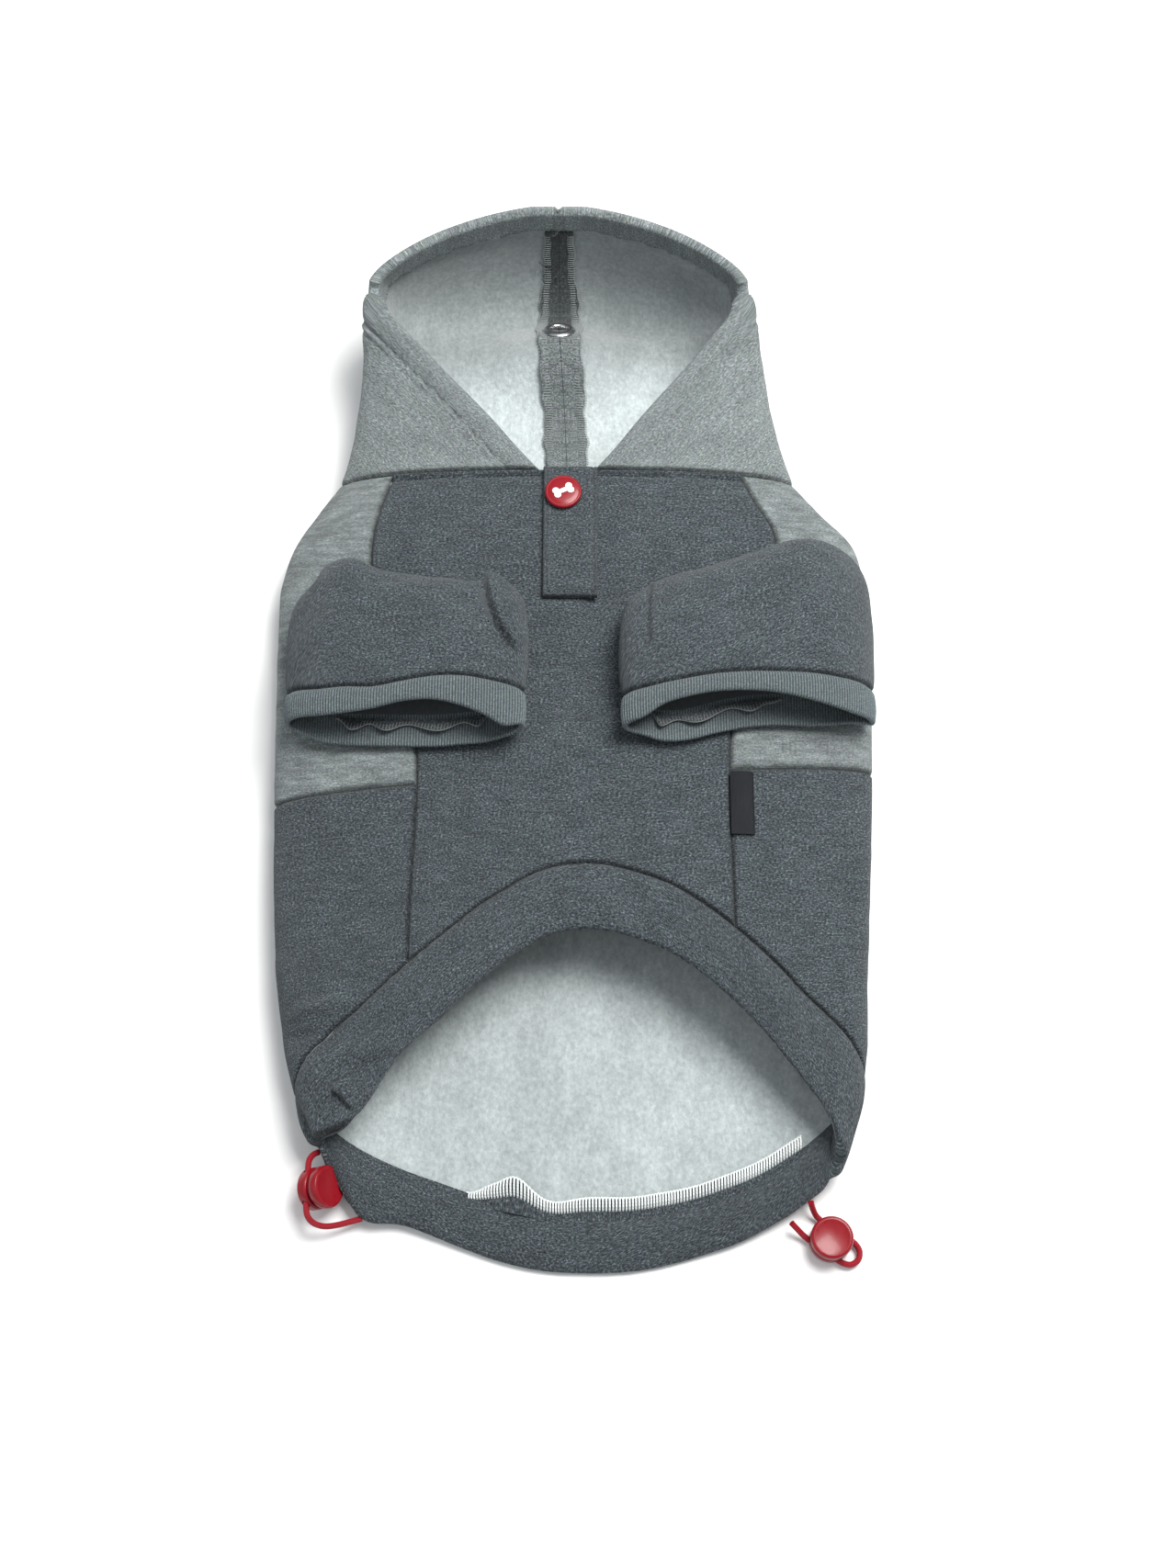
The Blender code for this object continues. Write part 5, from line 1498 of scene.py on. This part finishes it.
class HOODIE_OT_hem_allowance(bpy.types.Operator):
    """Make the overlocked seam allowance that shows inside the back hem, with its thread loops"""

    bl_idname = "hoodie.hem_allowance"
    bl_label = "Hem allowance"

    def execute(self, context):
        s = sizes()
        probe = np.linspace(100.0, 260.0, 321)
        spread = -NECK[0] - body_point(probe, hem_seam(probe))[:, 0]
        turns = np.linspace(*np.interp((-0.0950, 0.0440), spread, probe), 420)
        line = body_point(turns, hem_seam(turns) - 0.0035)
        run = run_of(line)
        place = line[:, 0] + NECK[0]
        stand = bell(place + 0.0236, 0.0075) - 0.25 * bell(place + 0.0070, 0.0080)
        ends = eased((place + 0.0440) / 0.012)
        sway = 0.25 * np.sin(run / 0.011) + 0.15 * np.sin(run / 0.0047 + 1)
        width, last = 0.0082, 8
        across = np.linspace(0.0, 1.0, last + 1)
        lie = (0.0034 + 0.0012 * sway + 0.0030 * stand) * (0.25 + 0.75 * ends)
        top = np.empty((last + 1, len(turns), 3))
        for k, t in enumerate(across):
            top[k] = line
            top[k, :, 1] += width * t * (0.35 + 0.65 * ends) + (0.0058 * stand + 0.0011 * sway) * t**0.7
            top[k, :, 2] = body_point(turns, top[k, :, 1])[:, 2] + s.cloth + lie * (0.45 + 0.55 * t)
        up = grid_normals(top, top - np.array((0.0, 0.0, 0.01)), soften=2)
        thick = 0.0012 * (1 - 0.35 * across[:, None, None] ** 4)
        uv = np.stack(np.broadcast_arrays(width * across[:, None], run), axis=-1)
        strip = shell("hem_allowance", top + up * thick, top - up * thick, [dark_heather()], uv=uv)
        placed(strip)
        # each loop of thread goes up through the cloth, over its edge and back under it
        loop = (
            (0.44, 0.0007), (0.56, 0.0019), (0.82, 0.0022), (1.05, 0.0011), (1.06, -0.0006), (0.85, -0.0016)
        )
        loops = []
        for at in np.arange(0.001, run[-1] - 0.001, s.overlock_pitch):
            swayed = at + 0.0004 * math.sin(at * 5000.0)
            spots = []
            for t, high in loop:
                row = min(t, 1.0) * last
                low = int(row)
                here = read_path(swayed, run, top[low]) * (1 - (row - low))
                spot = here + read_path(swayed, run, top[min(low + 1, last)]) * (row - low)
                spot = spot + read_path(swayed, run, up[low]) * high
                spot[1] += max(t - 1.0, 0.0) * width
                spots.append(spot)
            loops.append(tube_mesh(spots, 0.5 * s.overlock_thread, 5))
        step = 0.0005
        edge = read_path(np.arange(0.0, run[-1], step), run, top[last] + up[last] * 0.0004)
        edge[:, 1] += 0.0004 + 0.00025 * np.sin(np.arange(len(edge)) * step * 2 * math.pi / s.overlock_pitch)
        loops.append(tube_mesh(edge, 0.5 * s.overlock_thread, 6))
        placed(joined("hem_overlock", loops, thread("overlock_thread", colours().overlock)))
        return {"FINISHED"}


class HOODIE_OT_cuff_overlock(bpy.types.Operator):
    """Make the wavy overlocked allowance that hangs inside each cuff"""

    bl_idname = "hoodie.cuff_overlock"
    bl_label = "Cuff overlock"

    def execute(self, context):
        cloth = dark_heather()
        dark_thread = thread("cuff_thread", toned(colours().overlock, 0.22))
        for side, spread in zip(SIDES, ((312.0, 238.0), (222.0, 282.0))):
            angle = np.linspace(*spread, 150)
            root = loop_point(side, angle, np.full_like(angle, 8.20))
            root[:, 2] += 0.0028
            run = run_of(root)
            share = np.linspace(0, 1, 150)
            fade = eased(share / 0.12) * eased((1 - share) / 0.12)
            wave = 0.5 + 0.5 * np.sin(run / 0.0030 + 0.9 * np.sin(run / 0.0085))
            sheet = np.stack([root] * 7)
            for row, t in zip(sheet, np.linspace(0.0, 1.0, 7)):
                row[:, 2] += t * (0.0008 + 0.0016 * wave) * fade
                row[:, 1] -= t * (0.0022 + 0.0034 * wave) * fade
            facing = grid_normals(sheet, sheet - np.array((0.0, 0.0, 0.01)))
            name = "cuff_allowance_" + side.name
            flap = shell(name, sheet + facing * 0.0005, sheet - facing * 0.0005, [cloth])
            placed(flap)
            loops = []
            for at in np.arange(0.001, run[-1] - 0.001, 0.0014):
                spots = [
                    read_path(at + 0.0006 * t, run, sheet[k]) + high * read_path(at, run, facing[k])
                    for t, k, high in (
                        (0.0, 3, 0.0006), (0.3, 5, 0.0008), (0.6, 6, 0.0006), (1.0, 6, -0.0004)
                    )
                ]
                loops.append(tube_mesh(spots, 0.00020, 4))
            loops.append(tube_mesh(even(sheet[6] + np.array((0.0, 0.0, -0.0002)), 0.0007), 0.00032, 5))
            placed(joined("cuff_overlock_" + side.name, loops, dark_thread))
        return {"FINISHED"}


class HOODIE_OT_sleeves(bpy.types.Operator):
    """Make the two short sleeves"""

    bl_idname = "hoodie.sleeves"
    bl_label = "Sleeves"

    def execute(self, context):
        s = sizes()
        angles = np.linspace(0.0, 360.0, 289)[:-1]
        ats = 8.0 * shares(0.090, 0.0014, 0.00035)
        angle, at = np.meshgrid(angles, ats, indexing="ij")
        topside = eased(np.sin(np.radians(angle)) / 0.25)
        # the sleeves' inner side is fleece darkened to dark heather: painted shade inside the sleeves
        skins = [dark_heather(), brushed("shaded_sleeve_fleece", toned(colours().dark, 0.8))]
        for side in SIDES:
            base = loop_point(side, angle, at, drop=SLEEVE_TUCK * (1 - eased(at / 0.8)))
            normals = grid_normals(base, base.mean(axis=0, keepdims=True), ring=True, soften=2)
            across, along = run_lengths(base, 0), run_lengths(base, 1)
            to_cuff = along[:, -1:] - along
            lift = s.wave * 1.4 * waves(base[..., 0], base[..., 1] - base[..., 2], 6.0 + side.sign)
            lift *= eased(along / 0.010) * eased(to_cuff / 0.008)
            lift += puckers(across, to_cuff) - turned_down(to_cuff)
            x, y, folds = base[..., 0], base[..., 1], OVERLAPS[side.name]
            lift += overlapped(x, y, folds) * topside
            outer = base + normals * lift[..., None]
            inner = base - normals * s.cloth
            uv = np.stack((across, along), axis=-1)
            # painted shade along the upper overlapping fold, the cuff's seam and, wider, beside the armhole
            painted_shade = 0.8 * fold_shade(x, y, folds[:1]) * topside
            painted_shade += seam_shade(to_cuff) + 0.6 * seam_shade(along, 0.0030)
            obj = shell("sleeve_cloth_" + side.name, outer, inner, skins, 1, 1, True, uv, crease_shade=painted_shade)
            placed(obj, "sleeve_" + side.name)
        return {"FINISHED"}


class HOODIE_OT_cuffs(bpy.types.Operator):
    """Make the two rib cuffs"""

    bl_idname = "hoodie.cuffs"
    bl_label = "Rib cuffs"

    def execute(self, context):
        s = sizes()
        turns, at_mouth = np.linspace(0, 360, 721), np.full(721, 8.5)
        share = shares(0.0145, 0.0011, 0.0003, reach=0.003)
        steps = 6
        for side in SIDES:
            around = run_of(loop_point(side, turns, at_mouth))
            count = steps * int(round(around[-1] / s.rib_pitch))
            angles = np.interp(np.linspace(0.0, around[-1], count + 1)[:-1], around, turns)
            angle, t = np.meshgrid(angles, share, indexing="ij")
            base = loop_point(side, angle, 8.0 + t)
            normals = grid_normals(base, base.mean(axis=0, keepdims=True), ring=True, soften=3)
            along = run_lengths(base, 1)
            to_mouth = along[:, -1:] - along
            number = np.broadcast_to(np.arange(count)[:, None], t.shape)
            rib = power_of(np.cos(2 * np.pi * number / steps), 0.7)
            half = 0.0012
            edge = half * (1 - nose(to_mouth, half))
            fade = eased(along / 0.0015) * (0.35 + 0.65 * eased(to_mouth / 0.0012))
            under = 0.0007 * np.sin(np.pi * t) + 0.5 * s.rib_depth * rib * fade
            outer = base + normals * (under - 0.8 * turned_down(along) - edge)[..., None]
            inner = base - normals * (2 * half - edge - under)[..., None]
            uv = np.stack((number * s.rib_pitch / steps, along), axis=-1)
            # painted shade along the cuff's seam
            name, painted_shade = "rib_cuff_" + side.name, seam_shade(along)
            obj = shell(name, outer, inner, [rib_knit("rib_knit")], 0, 0, True, uv, sharp=75.0, crease_shade=painted_shade)
            placed(obj, "cuff_" + side.name)
        return {"FINISHED"}


class HOODIE_OT_placket(bpy.types.Operator):
    """Make the throat placket with its topstitched edge"""

    bl_idname = "hoodie.placket"
    bl_label = "Placket"

    def execute(self, context):
        us = shares(PLACKET_WIDTH, 0.0009, 0.00022, reach=0.004)
        vs = shares(PLACKET_LENGTH, 0.0012, 0.00022, reach=0.004)
        u, v = np.meshgrid(us, vs, indexing="ij")
        x = PLACKET_CENTRE + (u - 0.5) * PLACKET_WIDTH
        y = -GAP - v * PLACKET_LENGTH
        from_sides = np.minimum(u, 1 - u) * PLACKET_WIDTH
        from_foot, from_neck = (1 - v) * PLACKET_LENGTH, v * PLACKET_LENGTH
        away = np.minimum(from_sides, np.minimum(from_foot, from_neck))
        height = PLACKET_THICKNESS * (0.25 + 0.75 * nose(away, 0.0014))
        height -= groove(from_sides - 0.0017, 0.0008, 0.00045) * eased((from_foot - 0.001) / 0.001)
        height -= groove(from_foot - 0.0017, 0.0008, 0.00045) * eased((from_sides - 0.001) / 0.001)
        height += 0.00025 * waves(x, y, 8.0) * eased(away / 0.004)
        foot = bridged_height(x, y) + 2 * GAP
        outer, inner = np.stack((x, y, foot + height), axis=-1), np.stack((x, y, foot), axis=-1)
        # painted shade along the placket's edges
        obj = shell("placket_cloth", outer, inner, [dark_heather()], crease_shade=0.6 * seam_shade(away, 0.0006))
        inset = 0.0030
        i = int(np.argmin(np.abs(us - inset / PLACKET_WIDTH)))
        k = int(np.argmin(np.abs(vs - 1 + inset / PLACKET_LENGTH)))
        seams = []
        for line in (outer[i, 2 : k + 1], outer[len(us) - 1 - i, 2 : k + 1], outer[i : len(us) - i, k]):
            seams += stitches(line + np.array((0.0, 0.0, 0.00012)), 0.0019, 0.0007, 0.00019, 0.00022)
        placed(joined("placket_stitches", seams, thread("placket_thread", toned(colours().dark, 1.3))))
        placed(obj, "placket")
        return {"FINISHED"}


class HOODIE_OT_label(bpy.types.Operator):
    """Make the plain folded satin label of the side seam"""

    bl_idname = "hoodie.label"
    bl_label = "Side label"

    def execute(self, context):
        low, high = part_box("side_label")
        us, vs = np.linspace(0, 1, 25), np.linspace(0, 1, 49)
        u, v = np.meshgrid(us, vs, indexing="ij")
        x = low.x - NECK[0] - 0.0004 + u * (LABEL_WIDTH + 0.0002)
        y = high.y - NECK[1] - v * LABEL_LENGTH
        foot = top_height(x, y) + 0.0004
        bow = 0.0009 * np.sin(np.pi * np.clip(u, 0, 1)) * (0.6 + 0.4 * np.sin(3.0 * v + 0.6))
        thick = 0.0009 * (0.2 + 0.8 * nose((1 - u) * LABEL_WIDTH, 0.0005))
        outer = np.stack((x, y, foot + 0.0004 + bow + 0.5 * thick), axis=-1)
        inner = np.stack((x, y, foot + 0.0004 + 0.8 * bow - 0.5 * thick), axis=-1)
        obj = shell("side_label_satin", outer, inner, [satin("black_satin")])
        placed(obj, "side_label")
        return {"FINISHED"}


class HOODIE_OT_cords(bpy.types.Operator):
    """Make the drawcord's two free loops"""

    bl_idname = "hoodie.cords"
    bl_label = "Drawcords"

    def execute(self, context):
        for name, route in CORD_ROUTES.items():
            path = even(bent(route), 0.0008)
            tube = tube_mesh(path, 0.5 * CORD_DIAMETER, 16)
            obj = joined("drawcord_loop_" + name, [tube], braided("red_cord"))
            placed(obj, "drawcord_" + name)
        return {"FINISHED"}


def lock_matrix(lock):
    """The lock's place: its foot, its channels along its own X, and its button's axis along its own Z."""
    tilt = Matrix.Rotation(math.radians(lock.tilt), 4, "Y")
    heading = Matrix.Rotation(math.radians(lock.heading), 4, "Z")
    place = Vector((lock.x + NECK[0], lock.y + NECK[1], lock.z))
    return Matrix.Translation(place) @ tilt @ heading


def activated(obj):
    bpy.context.view_layer.objects.active = obj


def turned_profile(name, profile, material, sides=64):
    """A closed round piece, spun in edit mode from a profile of radius and height in millimetres."""
    bpy.ops.object.select_all(action="DESELECT")
    bpy.ops.mesh.primitive_plane_add(size=0.001, location=(0, 0, 0))
    obj = bpy.context.active_object
    obj.name = name
    bpy.ops.object.mode_set(mode="EDIT")
    bpy.ops.mesh.select_all(action="SELECT")
    bpy.ops.mesh.delete(type="VERT")
    work = bmesh.from_edit_mesh(obj.data)
    line = [work.verts.new((0.001 * radius, 0.0, 0.001 * height)) for radius, height in profile]
    for a, b in zip(line, line[1:]):
        work.edges.new((a, b))
    bmesh.update_edit_mesh(obj.data)
    bpy.ops.mesh.select_all(action="SELECT")
    bpy.ops.mesh.spin(steps=sides, angle=2 * math.pi, center=(0, 0, 0), axis=(0, 0, 1))
    bpy.ops.mesh.select_all(action="SELECT")
    bpy.ops.mesh.remove_doubles(threshold=0.00002)
    bpy.ops.mesh.normals_make_consistent(inside=False)
    bpy.ops.object.mode_set(mode="OBJECT")
    obj.data.materials.clear()
    obj.data.materials.append(material)
    return obj


def rounded(obj, width):
    """Rounds the sharp edges of a piece with an applied bevel."""
    bevel = obj.modifiers.new("soft edges", "BEVEL")
    bevel.width = width
    bevel.segments = 2
    bevel.limit_method = "ANGLE"
    bevel.angle_limit = math.radians(30.0)
    bevel.harden_normals = False
    activated(obj)
    bpy.ops.object.modifier_apply(modifier=bevel.name)


def combined(obj, other, operation):
    """Joins another solid to a piece, or cuts it out, with an applied Boolean."""
    change = obj.modifiers.new("change", "BOOLEAN")
    change.operation = operation
    change.object = other
    change.solver = "EXACT"
    activated(obj)
    bpy.ops.object.modifier_apply(modifier=change.name)
    bpy.data.objects.remove(other, do_unlink=True)


def settle_piece(obj, matrix, sharp=35.0):
    """Puts a piece's place into its mesh and leaves its object at the origin."""
    obj.data.transform(matrix)
    obj.matrix_world = Matrix.Identity(4)
    obj.data.shade_smooth()
    obj.data.set_sharp_from_angle(angle=math.radians(sharp))


class HOODIE_OT_locks(bpy.types.Operator):
    """Make the two spring cord locks, each a base and a push button"""

    bl_idname = "hoodie.locks"
    bl_label = "Cord locks"

    def execute(self, context):
        radius = 500 * LOCK_DIAMETER
        base_profile = (
            (0.0, 0.0),
            (radius - 0.8, 0.0),
            (radius, 0.8),
            (radius, 4.3),
            (radius - 0.6, 5.0),
            (7.1, 5.0),
            (7.1, 6.65),
            (6.8, 6.95),
            (0.0, 6.95),
        )
        push_profile = (
            (0.0, 8.6),
            (7.4, 8.6),
            (7.4, 6.85),
            (radius - 0.2, 6.85),
            (radius + 0.1, 7.4),
            (radius + 0.1, 9.9),
            (radius - 0.3, 10.7),
            (radius - 1.3, 11.0),
            (radius - 1.7, 10.8),
            (0.0, 11.0),
        )
        base = turned_profile("lock_base_right", base_profile, plastic("red_plastic"))
        push = turned_profile("lock_push_right", push_profile, plastic("red_plastic"))
        channels(base)
        rounded(base, 0.00015)
        rounded(push, 0.00015)
        left_base = copy_of(base, "lock_base_left")
        left_push = copy_of(push, "lock_push_left")
        for lock, low, top in zip(LOCKS, (base, left_base), (push, left_push)):
            settle_piece(low, lock_matrix(lock))
            settle_piece(top, lock_matrix(lock))
            placed(low, "lock_body_" + lock.name)
            placed(top, "lock_button_" + lock.name, "button_" + lock.name)
        return {"FINISHED"}


def channels(base):
    """Cuts the two cord channels through a lock's base."""
    for sign in (-1, 1):
        bpy.ops.object.select_all(action="DESELECT")
        bpy.ops.mesh.primitive_cylinder_add(
            vertices=32,
            radius=0.5 * CORD_DIAMETER + GAP,
            depth=2 * LOCK_DIAMETER,
            location=(0.0, sign * 0.0048, 0.0026),
            rotation=(0.0, math.pi / 2, 0.0),
        )
        combined(base, bpy.context.active_object, "DIFFERENCE")


def copy_of(obj, name):
    copied = obj.copy()
    copied.data = obj.data.copy()
    copied.name = name
    bpy.context.scene.collection.objects.link(copied)
    return copied


class HOODIE_OT_snap_cap(bpy.types.Operator):
    """Make the press stud's domed cap with a plain bone motif"""

    bl_idname = "hoodie.snap_cap"
    bl_label = "Snap cap"

    def execute(self, context):
        low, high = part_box("snap_cap")
        radius, t = 500 * SNAP_DIAMETER, 1000 * SNAP_THICKNESS
        shares_of_size = (
            (0.0, 0.0),
            (0.93, 0.0),
            (1.0, 0.22),
            (1.0, 0.48),
            (0.985, 0.66),
            (0.94, 0.80),
            (0.90, 0.83),
            (0.865, 0.78),
            (0.82, 0.84),
            (0.60, 0.94),
            (0.30, 0.99),
            (0.0, 1.0),
        )
        profile = [(radius * out, t * up) for out, up in shares_of_size]
        cap = turned_profile("snap_cap_dome", profile, plastic("red_plastic"), 96)
        place = Matrix.Translation((0.5 * (low.x + high.x), 0.5 * (low.y + high.y), low.z))
        settle_piece(cap, place, 60.0)
        placed(cap, "snap_cap")
        bone = self.bone(0.26 * SNAP_DIAMETER, SNAP_THICKNESS)
        settle_piece(bone, place @ Matrix.Rotation(math.radians(24.0), 4, "Z"), 30.0)
        placed(bone)
        return {"FINISHED"}

    def bone(self, reach, height):
        """The motif, one plate: two ends of two lobes each, joined by a shank."""
        thick, lobe, shank = 0.0005, 0.36 * reach, 0.24 * reach
        lobes = []
        for x, y in ((-1, -1), (-1, 1), (1, -1), (1, 1)):
            bpy.ops.object.select_all(action="DESELECT")
            spot = (0.74 * x * reach, 0.72 * y * lobe, height)
            bpy.ops.mesh.primitive_cylinder_add(vertices=24, radius=lobe, depth=thick, location=spot)
            lobes.append(bpy.context.active_object)
        bpy.ops.object.select_all(action="DESELECT")
        bpy.ops.mesh.primitive_cube_add(size=1.0, location=(0.0, 0.0, height))
        bar = bpy.context.active_object
        bpy.ops.transform.resize(value=(1.7 * reach, 2 * shank, thick))
        bpy.ops.object.transform_apply(location=True, rotation=True, scale=True)
        for part in lobes:
            bpy.ops.object.select_all(action="DESELECT")
            combined(bar, part, "UNION")
        rounded(bar, 0.00008)
        bar.name = "snap_cap_bone"
        bar.data.materials.clear()
        bar.data.materials.append(motif_print("motif_print"))
        return bar


class HOODIE_OT_eyelet(bpy.types.Operator):
    """Make the pressed metal leash eyelet"""

    bl_idname = "hoodie.eyelet"
    bl_label = "Leash eyelet"

    def execute(self, context):
        profile = (
            (4.7, -1.0),
            (4.7, 0.6),
            (5.0, 1.15),
            (5.6, 1.45),
            (6.4, 1.35),
            (7.3, 0.9),
            (7.9, 0.25),
            (7.9, 0.0),
            (7.2, 0.25),
            (5.8, 0.2),
            (5.6, -1.0),
            (4.7, -1.0),
        )
        ring = turned_profile("leash_eyelet_ring", profile, steel("steel"), 72)
        low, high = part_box("leash_eyelet")
        swings = np.arange(0.0, 90.0, 0.25)
        ridge = crown_point(np.full_like(swings, 180.0), swings)
        k = int(np.argmax(ridge[:, 1] >= EYELET_FROM_NECK))
        along = Vector(ridge[k + 16] - ridge[max(k - 16, 0)]).normalized()
        across = Vector((1.0, 0.0, 0.0))
        normal = (across.cross(along).normalized() + Vector((0.0, -0.16, 0.04))).normalized()
        turn = Matrix((across, normal.cross(across), normal)).transposed().to_4x4()
        middle = Vector((0.5 * (low.x + high.x), ridge[k][1] + NECK[1], ridge[k][2]))
        settle_piece(ring, Matrix.Translation(middle + normal * 0.0041) @ turn, 40.0)
        placed(ring, "leash_eyelet")
        return {"FINISHED"}


class HOODIE_OT_stage(bpy.types.Operator):
    """Make the floor, the lights and the camera"""

    bl_idname = "hoodie.stage"
    bl_label = "Stage"

    def execute(self, context):
        bpy.ops.object.select_all(action="DESELECT")
        bpy.ops.mesh.primitive_plane_add(size=6.0, location=(0.0, 0.0, -0.0002))
        floor = bpy.context.active_object
        floor.name = "floor"
        floor.data.materials.append(floor_cover("floor"))

        world = bpy.data.worlds.new("studio")
        world.use_nodes = True
        background = world.node_tree.nodes["Background"]
        background.inputs["Color"].default_value = (0.95, 0.98, 1.0, 1.0)
        background.inputs["Strength"].default_value = 0.50
        context.scene.world = world
        self.lamp("key", (0.45, 0.34, 1.22), 0.70, 27.0, (1.0, 0.99, 0.97))
        self.lamp("fill", (-0.9, -0.5, 1.1), 1.2, 2.5, (0.93, 0.97, 1.0))
        context.scene.view_settings.view_transform = "Standard"

        camera = bpy.data.objects.new("camera", bpy.data.cameras.new("camera"))
        context.scene.collection.objects.link(camera)
        camera.data.lens = VIEW_LENS
        camera.data.sensor_width = 36.0
        angle = math.radians(VIEW_ELEVATION)
        camera.location = TARGET + VIEW_DISTANCE * Vector((0.0, -math.cos(angle), math.sin(angle)))
        camera.rotation_euler = (TARGET - camera.location).to_track_quat("-Z", "Y").to_euler()
        camera.data.clip_start = 0.01
        context.scene.camera = camera
        return {"FINISHED"}

    def lamp(self, name, place, size, power, colour):
        data = bpy.data.lights.new(name, "AREA")
        data.size = size
        data.energy = power
        data.color = colour
        lamp = bpy.data.objects.new(name, data)
        bpy.context.scene.collection.objects.link(lamp)
        lamp.location = place
        lamp.rotation_euler = (-Vector(place)).to_track_quat("-Z", "Y").to_euler()


STEPS = (
    HOODIE_OT_body_cloth,
    HOODIE_OT_hood,
    HOODIE_OT_hood_tapes,
    HOODIE_OT_frayed_end,
    HOODIE_OT_hem_allowance,
    HOODIE_OT_hem_band,
    HOODIE_OT_sleeves,
    HOODIE_OT_cuff_overlock,
    HOODIE_OT_cuffs,
    HOODIE_OT_placket,
    HOODIE_OT_label,
    HOODIE_OT_snap_cap,
    HOODIE_OT_eyelet,
    HOODIE_OT_locks,
    HOODIE_OT_cords,
    HOODIE_OT_stage,
)


class HOODIE_PT_pieces(bpy.types.Panel):
    """Lists the steps that dress the hoodie"""

    bl_idname = "HOODIE_PT_pieces"
    bl_label = "Dog hoodie"
    bl_space_type = "VIEW_3D"
    bl_region_type = "UI"
    bl_category = "Hoodie"

    def draw(self, context):
        for step in STEPS:
            self.layout.operator(step.bl_idname)
        for group in (context.scene.hoodie_sizes, context.scene.hoodie_colours):
            for name in group.__annotations__:
                self.layout.prop(group, name)


CLASSES = (HoodieSizes, HoodieColours, *STEPS, HOODIE_PT_pieces)


def register():
    for made in CLASSES:
        bpy.utils.register_class(made)
    bpy.types.Scene.hoodie_sizes = bpy.props.PointerProperty(type=HoodieSizes)
    bpy.types.Scene.hoodie_colours = bpy.props.PointerProperty(type=HoodieColours)


def unregister():
    del bpy.types.Scene.hoodie_colours
    del bpy.types.Scene.hoodie_sizes
    for made in reversed(CLASSES):
        bpy.utils.unregister_class(made)


def main():
    register()
    for step in STEPS:
        family, name = step.bl_idname.split(".")
        getattr(getattr(bpy.ops, family), name)()


if __name__ == "__main__":
    main()
